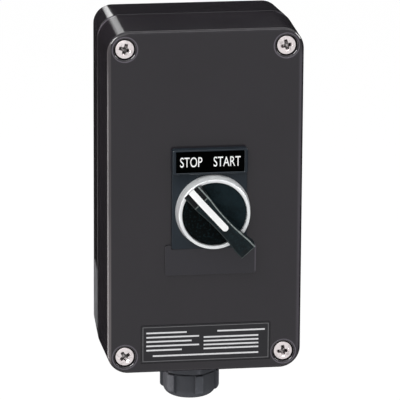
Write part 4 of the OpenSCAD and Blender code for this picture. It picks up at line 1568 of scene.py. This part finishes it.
@dataclass
class Gland(SubAssembly):
    """The cable gland's body and its ribbed dome nut."""

    stand: Stand = Stand(y=-GLAND_OFF_WALL, axis=Axis.UPRIGHT, turn=42.0)
    hex_corner: float = 12.4
    hex_top: float = -72.4
    hex_bottom: float = -81.9
    hex_chamfer: float = 1.1
    hex_shares: Triple = (0.55, 0.4, 0.7)
    hex_rounding: Rounding = (0.22, 3, 25.0)
    thread: float = 7.9
    thread_top: float = -60.4
    thread_chamfer: float = 0.6
    bore: float = 5.8
    seal: float = 7.85
    seal_top: float = -78.9
    spigot: float = 9.0
    spigot_bottom: float = 2.7
    nut_round: float = 11.0
    nut_corner: float = 12.2
    nut_edge: float = 4.0
    nut_chamfer: float = 0.3
    nut_rounding: Rounding = (0.18, 2, 40.0)
    nut_hollow: Point = (0.05, 0.2)
    rib: float = 3.3
    rib_end: float = 2.4
    rib_edge: float = 1.6
    rib_corner: float = 0.3
    ribs: int = 6
    mouth: float = 6.2
    mouth_chamfer: float = 0.9
    mouth_heights: Point = (-0.5, 0.4)

    def __post_init__(self) -> None:
        """Reads the nut's ends from the frame."""
        box = Box("gland_dome_nut")
        self.nut_bottom, self.nut_top = box.low.z, box.high.z
        self.spigot_end = self.nut_bottom + self.spigot_bottom

    def body(self) -> Piece:
        """Makes the body: thread, chamfered hexagon and spigot, bored through."""
        stand, r, cut = self.stand, self.hex_corner, self.hex_chamfer
        low, high, end = self.hex_bottom, self.hex_top, self.thread_top
        hexagon = rod("gland_shank", stand, r, (low, high), 6)
        foot, head, top = (cut * share for share in self.hex_shares)
        profile = [(r - cut, low), (r, low + foot), (r, high - head), (r - top, high)]
        carve(hexagon, [turned("barrel", stand, profile, 120)], Cut.KEEP)
        soften(hexagon, *self.hex_rounding)
        shank = [(self.thread, low + 2 * OVER), (self.thread, end - self.thread_chamfer)]
        shank += [(self.thread - self.thread_chamfer, end)]
        spigot = rod("spigot", stand, self.spigot, (self.spigot_end, low + OVER))
        carve(hexagon, [turned("shank", stand, shank), spigot], Cut.JOIN)
        bore = rod("bore", stand, self.bore, (self.spigot_end - OVER, end + OVER))
        pocket = rod("pocket", stand, self.seal, (self.spigot_end - OVER, self.seal_top))
        return smooth(carve(hexagon, [bore, pocket]))

    def dome(self, name: str, radius: float, drop: float, edge: float) -> Piece:
        """Makes a round body that curves in to the nut's lower end.

        Args:
            name: Name of the form.
            radius: Its radius at the top.
            drop: How far its lower end stays above the nut's.
            edge: Radius of its lower edge.

        Returns:
            The body.
        """
        end, top, cut = self.nut_bottom + drop, self.nut_top, self.nut_chamfer
        profile = [(radius - edge + rise, end + inset) for inset, rise in arc(edge, 12)]
        profile += [(radius, top - cut), (radius - cut, top)]
        return turned(name, self.stand, profile, 120)

    def nut(self) -> Piece:
        """Makes the dome nut with its grip ribs."""
        low, high, inner = self.nut_bottom, self.nut_top, self.spigot_end
        bar = rounded(2 * self.nut_corner + 2 * OVER, self.rib, self.rib_corner, 3)
        ribs = []
        for turn in (self.stand.turn + 360 / self.ribs * k for k in range(self.ribs // 2)):
            stand = Stand(y=self.stand.y, axis=Axis.UPRIGHT, turn=turn)
            ribs.append(Form("rib", stand).skin([(bar, low - OVER), (bar, high + OVER)]).made())
        star = carve(ribs[0], ribs[1:], Cut.JOIN)
        carve(star, [self.dome("outer", self.nut_corner, self.rib_end, self.rib_edge)], Cut.KEEP)
        nut = self.dome("dome_cap", self.nut_round, 0.0, self.nut_edge)
        carve(nut, [star], Cut.JOIN)
        soften(nut, *self.nut_rounding)
        gap, drop = self.nut_hollow
        hollow = rod("hollow", self.stand, self.spigot + gap, (inner - drop, high + OVER))
        wide, narrow = (low + height for height in self.mouth_heights)
        mouth = [(self.mouth + self.mouth_chamfer, wide), (self.mouth, narrow)]
        mouth += [(self.mouth, inner + OVER)]
        return smooth(carve(nut, [hollow, turned("mouth", self.stand, mouth)]))

    def build(self) -> None:
        """Makes and dresses the pieces."""
        self.seat(self.body(), Slot.GLAND_PLASTIC, ["gland_body"])
        self.seat(self.nut(), Slot.GLAND_PLASTIC, ["gland_dome_nut"])


@dataclass
class ContactSprings(SubAssembly):
    """The wound springs behind the two bridge contacts."""

    coil: Point = (2.35, 0.48)
    turns: int = 7

    def build(self) -> None:
        """Makes and dresses the pieces."""
        for side, body in (("left", Body.LEFT_PLUNGER), ("right", Body.RIGHT_PLUNGER)):
            node = f"contact_spring_{side}"
            box = Box(node)
            span = (box.back, box.front)
            spring = wound(f"wound_spring_{side}", box.stand, self.coil, span, self.turns)
            spring.data.shade_smooth()
            self.palette.paint(spring, Slot.SPRING_STEEL)
            fixed, moved = (Vector((box.x, -reach, box.z)) * MM for reach in span)
            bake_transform(spring)
            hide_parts(node)
            LOG.info("%s between %s and %s", spring.name, Body.STATION.value, body.value)


@dataclass
class KeptNodes(SubAssembly):
    """The CAD nodes that stay as they are and only get their finish."""

    def build(self) -> None:
        """Dresses the nodes."""
        for entry in frame["record"]["subparts"]:
            node = frame["nodes"][entry["node"]]
            if node.hide_render:
                continue
            slot = Slot(entry["material_slot"])
            self.palette.paint(node, slot)
            LOG.info("%s kept in %s", entry["node"], slot.value)


# Studio


@dataclass(frozen=True)
class Lamp:
    """A softbox that faces the station.

    Attributes:
        name: Its name.
        way: The direction from the station to it.
        distance: How far off it stands, in metres.
        size: Its width and height in metres.
        radiance: How bright its face is, where 1 is white.
        use: Whether it lights matt surfaces, shows in glossy ones, or both.
        tint: Colour of its light.
    """

    name: str
    way: Triple
    distance: float
    size: Point
    radiance: float
    use: Use = Use.BOTH
    tint: Colour = (1.0, 1.0, 1.0)

    def build(self) -> None:
        """Makes the lamp, which no ray from the camera sees."""
        light = bpy.data.lights.new(self.name, "AREA")
        light.shape = "RECTANGLE"
        light.size, light.size_y = self.size
        light.energy = self.radiance * math.pi * self.size[0] * self.size[1]
        light.color = self.tint
        lamp = linked(self.name, light)
        toward = Vector(self.way).normalized()
        lamp.location = toward * self.distance
        lamp.rotation_mode = "QUATERNION"
        lamp.rotation_quaternion = toward.to_track_quat("Z", "Y")
        lamp.visible_camera = False
        lamp.visible_transmission = False
        lamp.visible_diffuse = self.use is not Use.MIRRORED
        lamp.visible_glossy = self.use is not Use.MATT


LAMPS = (
    Lamp("key", (-0.3, -1.0, 0.75), 2.0, (1.2, 1.2), 2.0),
    Lamp("overhead", (0.1, -0.3, 0.95), 1.0, (2.0, 0.35), 2.6),
    Lamp("left_strip", (-0.95, 0.04, -0.4), 0.8, (0.5, 0.36), 6.5, Use.MIRRORED),
    Lamp("left_high", (-0.739, -0.29, 0.608), 0.8, (0.4, 0.4), 26.0, Use.MIRRORED),
    Lamp("right_high", (0.88, -0.083, 0.469), 0.8, (0.3, 0.3), 26.0, Use.MIRRORED),
    Lamp("base_band", (-0.059, 0.48, 0.162), 0.51, (0.06, 0.075), 2.5, Use.MIRRORED),
    Lamp("lid_band", (-0.083, 0.48, 0.245), 0.545, (0.13, 0.085), 1.55, Use.MIRRORED),
    Lamp("left_fill", (-1.0, 0.35, 0.1), 1.4, (1.0, 1.0), 3.2, Use.MATT, (1.0, 0.86, 0.84)),
)


@dataclass
class Studio:
    """Pale floor, even sky, soft lamps, black cards that are only mirrored, and the camera."""

    aim: Triple = (0.0, -26.0, 0.0)
    aim_right: float = 2.1
    aim_up: float = -6.7
    azimuth: float = -8.35
    elevation: float = 15.7
    roll: float = 0.33
    distance: float = 1500.0
    pixels_per_mm: float = 2.4805
    clip: Point = (0.1, 20.0)
    sky_light: float = 0.6
    floor_height: float = -0.5
    floor_half: float = 6.0
    floor_grey: float = 0.9
    floor_roughness: float = 0.9
    floor_glow: float = 1.1
    glow_share: float = 0.8
    card_grey: float = 0.01
    card_side: float = 0.75
    card_back: float = 0.5
    card_near: float = -0.05
    card_beside: float = -0.6
    card_gap: float = 0.01
    card_top: float = 0.265
    card_shoulder: float = 0.22

    def camera(self) -> None:
        """Makes the camera at the photograph's viewpoint."""
        a, e, r = (math.radians(v) for v in (self.azimuth, self.elevation, self.roll))
        back = Vector((math.sin(a) * math.cos(e), -math.cos(a) * math.cos(e), math.sin(e)))
        level = Vector((math.cos(a), math.sin(a), 0.0))
        upright = back.cross(level)
        right = level * math.cos(r) + upright * math.sin(r)
        up = upright * math.cos(r) - level * math.sin(r)
        aim = Vector(self.aim) + right * self.aim_right + up * self.aim_up
        lens = bpy.data.cameras.new("viewpoint")
        lens.sensor_width = SENSOR_WIDTH
        lens.lens = SENSOR_WIDTH * self.pixels_per_mm * self.distance / PHOTO_SIDE
        lens.clip_start, lens.clip_end = self.clip
        camera = linked("viewpoint", lens)
        stance = Matrix((right, up, back)).transposed().to_4x4()
        stance.translation = (aim + back * self.distance) * MM
        camera.matrix_world = stance
        bpy.context.scene.camera = camera

    def seen(self, bench: Bench) -> Signal:
        """Gives 1 for the rays that see the background itself, and 0 for the rest."""
        path = bench.node("ShaderNodeLightPath")
        kinds = ("Is Camera Ray", "Is Glossy Ray", "Is Transmission Ray")
        camera, glossy, through = (Signal(bench, path.outputs[kind]) for kind in kinds)
        return camera.most(glossy).most(through)

    def glow(self, bench: Bench, kind: str, strength: Operand) -> Signal:
        """Gives white light of one kind of shader."""
        return bench.signal(kind, sockets={"Color": (1, 1, 1, 1), "Strength": strength})

    def matt(self, bench: Bench, grey: float, roughness: float) -> Signal:
        """Gives a matt grey without a gloss."""
        sockets = {"Base Color": (grey, grey, grey, 1), "Roughness": roughness}
        sockets["Specular IOR Level"] = 0.0
        return bench.signal("ShaderNodeBsdfPrincipled", sockets=sockets)

    def sky(self) -> None:
        """Makes the even sky, white where it is seen."""
        world = bpy.data.worlds.new("studio")
        bpy.context.scene.world = world
        bench = Bench(world)
        strength = self.sky_light + self.seen(bench) * (1.0 - self.sky_light)
        bench.end(self.glow(bench, "ShaderNodeBackground", strength), "World")

    def sheet(self, name: str, corners: Sequence[Triple], material: bpy.types.Material) -> Piece:
        """Makes a flat stage sheet.

        Args:
            name: Its name.
            corners: Its corners in metres.
            material: Its material.

        Returns:
            The sheet.
        """
        data = bpy.data.meshes.new(name)
        data.from_pydata([Vector(c) for c in corners], [], [list(range(len(corners)))])
        data.materials.append(material)
        sheet = linked(name, data)
        return sheet

    def floor(self) -> None:
        """Makes the pale floor, which keeps the station's shadow and is clear from below."""
        made = bpy.data.materials.new("pale_floor")
        bench = Bench(made)
        matt = self.matt(bench, self.floor_grey, self.floor_roughness)
        glow = self.glow(bench, "ShaderNodeEmission", self.floor_glow)
        seen = self.seen(bench) * self.glow_share
        above = bench.signal("ShaderNodeMixShader", sockets={0: seen, 1: matt, 2: glow})
        under = bench.signal("ShaderNodeNewGeometry", output="Backfacing")
        clear = bench.signal("ShaderNodeBsdfTransparent")
        bench.end(bench.signal("ShaderNodeMixShader", sockets={0: under, 1: above, 2: clear}))
        h, s = self.floor_height, self.floor_half
        self.sheet("floor", [(sx * s, sy * s, h) for sx, sy in QUADRANTS[2:] + QUADRANTS[:2]], made)

    def cards(self) -> None:
        """Makes the black cards that the station's top, left side and right edge mirror."""
        made = bpy.data.materials.new("black_card")
        bench = Bench(made)
        bench.end(self.matt(bench, self.card_grey, 1.0))
        left, right, near, back = -self.card_side, self.card_side, self.card_near, self.card_back
        low = self.floor_height + self.card_gap
        for name, foot, levels in (
            ("card_back", ((left, back), (right, back)), (low, self.card_top)),
            ("card_right", ((right, self.card_beside), (right, back)), (low, self.card_shoulder)),
            ("card_floor", ((left, near), (right, near), (right, back), (left, back)), (low,)),
        ):
            corners: list[Triple] = []
            for level, line in zip(levels, (foot, foot[::-1])):
                corners += [(x, y, level) for x, y in line]
            card = self.sheet(name, corners, made)
            card.visible_camera = False
            card.visible_diffuse = False
            card.visible_transmission = False
            card.visible_shadow = False

    def build(self) -> None:
        """Sets up the whole studio."""
        bpy.context.scene.view_settings.view_transform = "Standard"
        self.camera()
        self.sky()
        self.floor()
        self.cards()
        for lamp in LAMPS:
            lamp.build()


def palette() -> Palette:
    """Gives every finish of the station."""
    axis = selector_stand()
    return Palette(
        (
            Enamel(Slot.ENCLOSURE),
            Rubber(Slot.RUBBER),
            TurnedMetal(Slot.SCREW_STEEL, (0.76, 0.7, 0.705), SCREWS, mirrored=True, sunk=54.7),
            PlainMetal(Slot.BRASS, (0.72, 0.52, 0.22), 0.3),
            PlainMetal(Slot.FOIL, (0.19, 0.19, 0.2), 0.45, 0.6, 0.01, (0.2, 0.2, 0.2)),
            Moulding(Slot.HOLDER, (0.0125, 0.0185, 0.0255), 0.36, 0.18),
            Moulding(Slot.LEGEND_BLACK, (0.0008, 0.001, 0.001), 0.4, 0.0, 0.5, 0.004),
            BorderedPlate(Slot.NAMEPLATE_BLACK),
            TurnedMetal(
                Slot.SATIN_CHROME,
                (0.86, 0.88, 0.89),
                (axis.x, axis.z),
                lathe=(0.35,),
                metallic=0.35,
            ),
            Moulding(Slot.GREY_PLASTIC, (0.17, 0.18, 0.185)),
            PlainMetal(Slot.CAST_ZINC, (0.5, 0.5, 0.52), 0.45, 0.5, 0.02, (0.3, 0.3, 0.32)),
            Moulding(Slot.COVER_PLASTIC, (0.06, 0.07, 0.08)),
            GripPlastic(Slot.HANDLE_BLACK),
            Moulding(Slot.MARKER_WHITE, (0.94, 0.95, 0.95), 0.4, 0.5, 0.5, 0.004, 0.03),
            Moulding(Slot.WHITE_PLASTIC, (0.72, 0.72, 0.68)),
            PlainMetal(Slot.SPRING_STEEL, (0.58, 0.58, 0.58), 0.28),
            Moulding(
                Slot.GLAND_PLASTIC, (0.073, 0.077, 0.088), 0.5, 0.1, 0.3, 0.014, ribs=(11.7, 12.15)
            ),
        )
    )


def main() -> None:
    """Builds the studio and the station."""
    logging.basicConfig(level=logging.INFO, format="%(name)s: %(message)s")
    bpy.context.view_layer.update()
    Studio().build()
    colours = palette()
    assemblies = (Enclosure, LidScrews, Plates, Selector, Gland, ContactSprings, KeptNodes)
    for assembly in assemblies:
        assembly(colours).build()


if __name__ == "__main__":
    main()
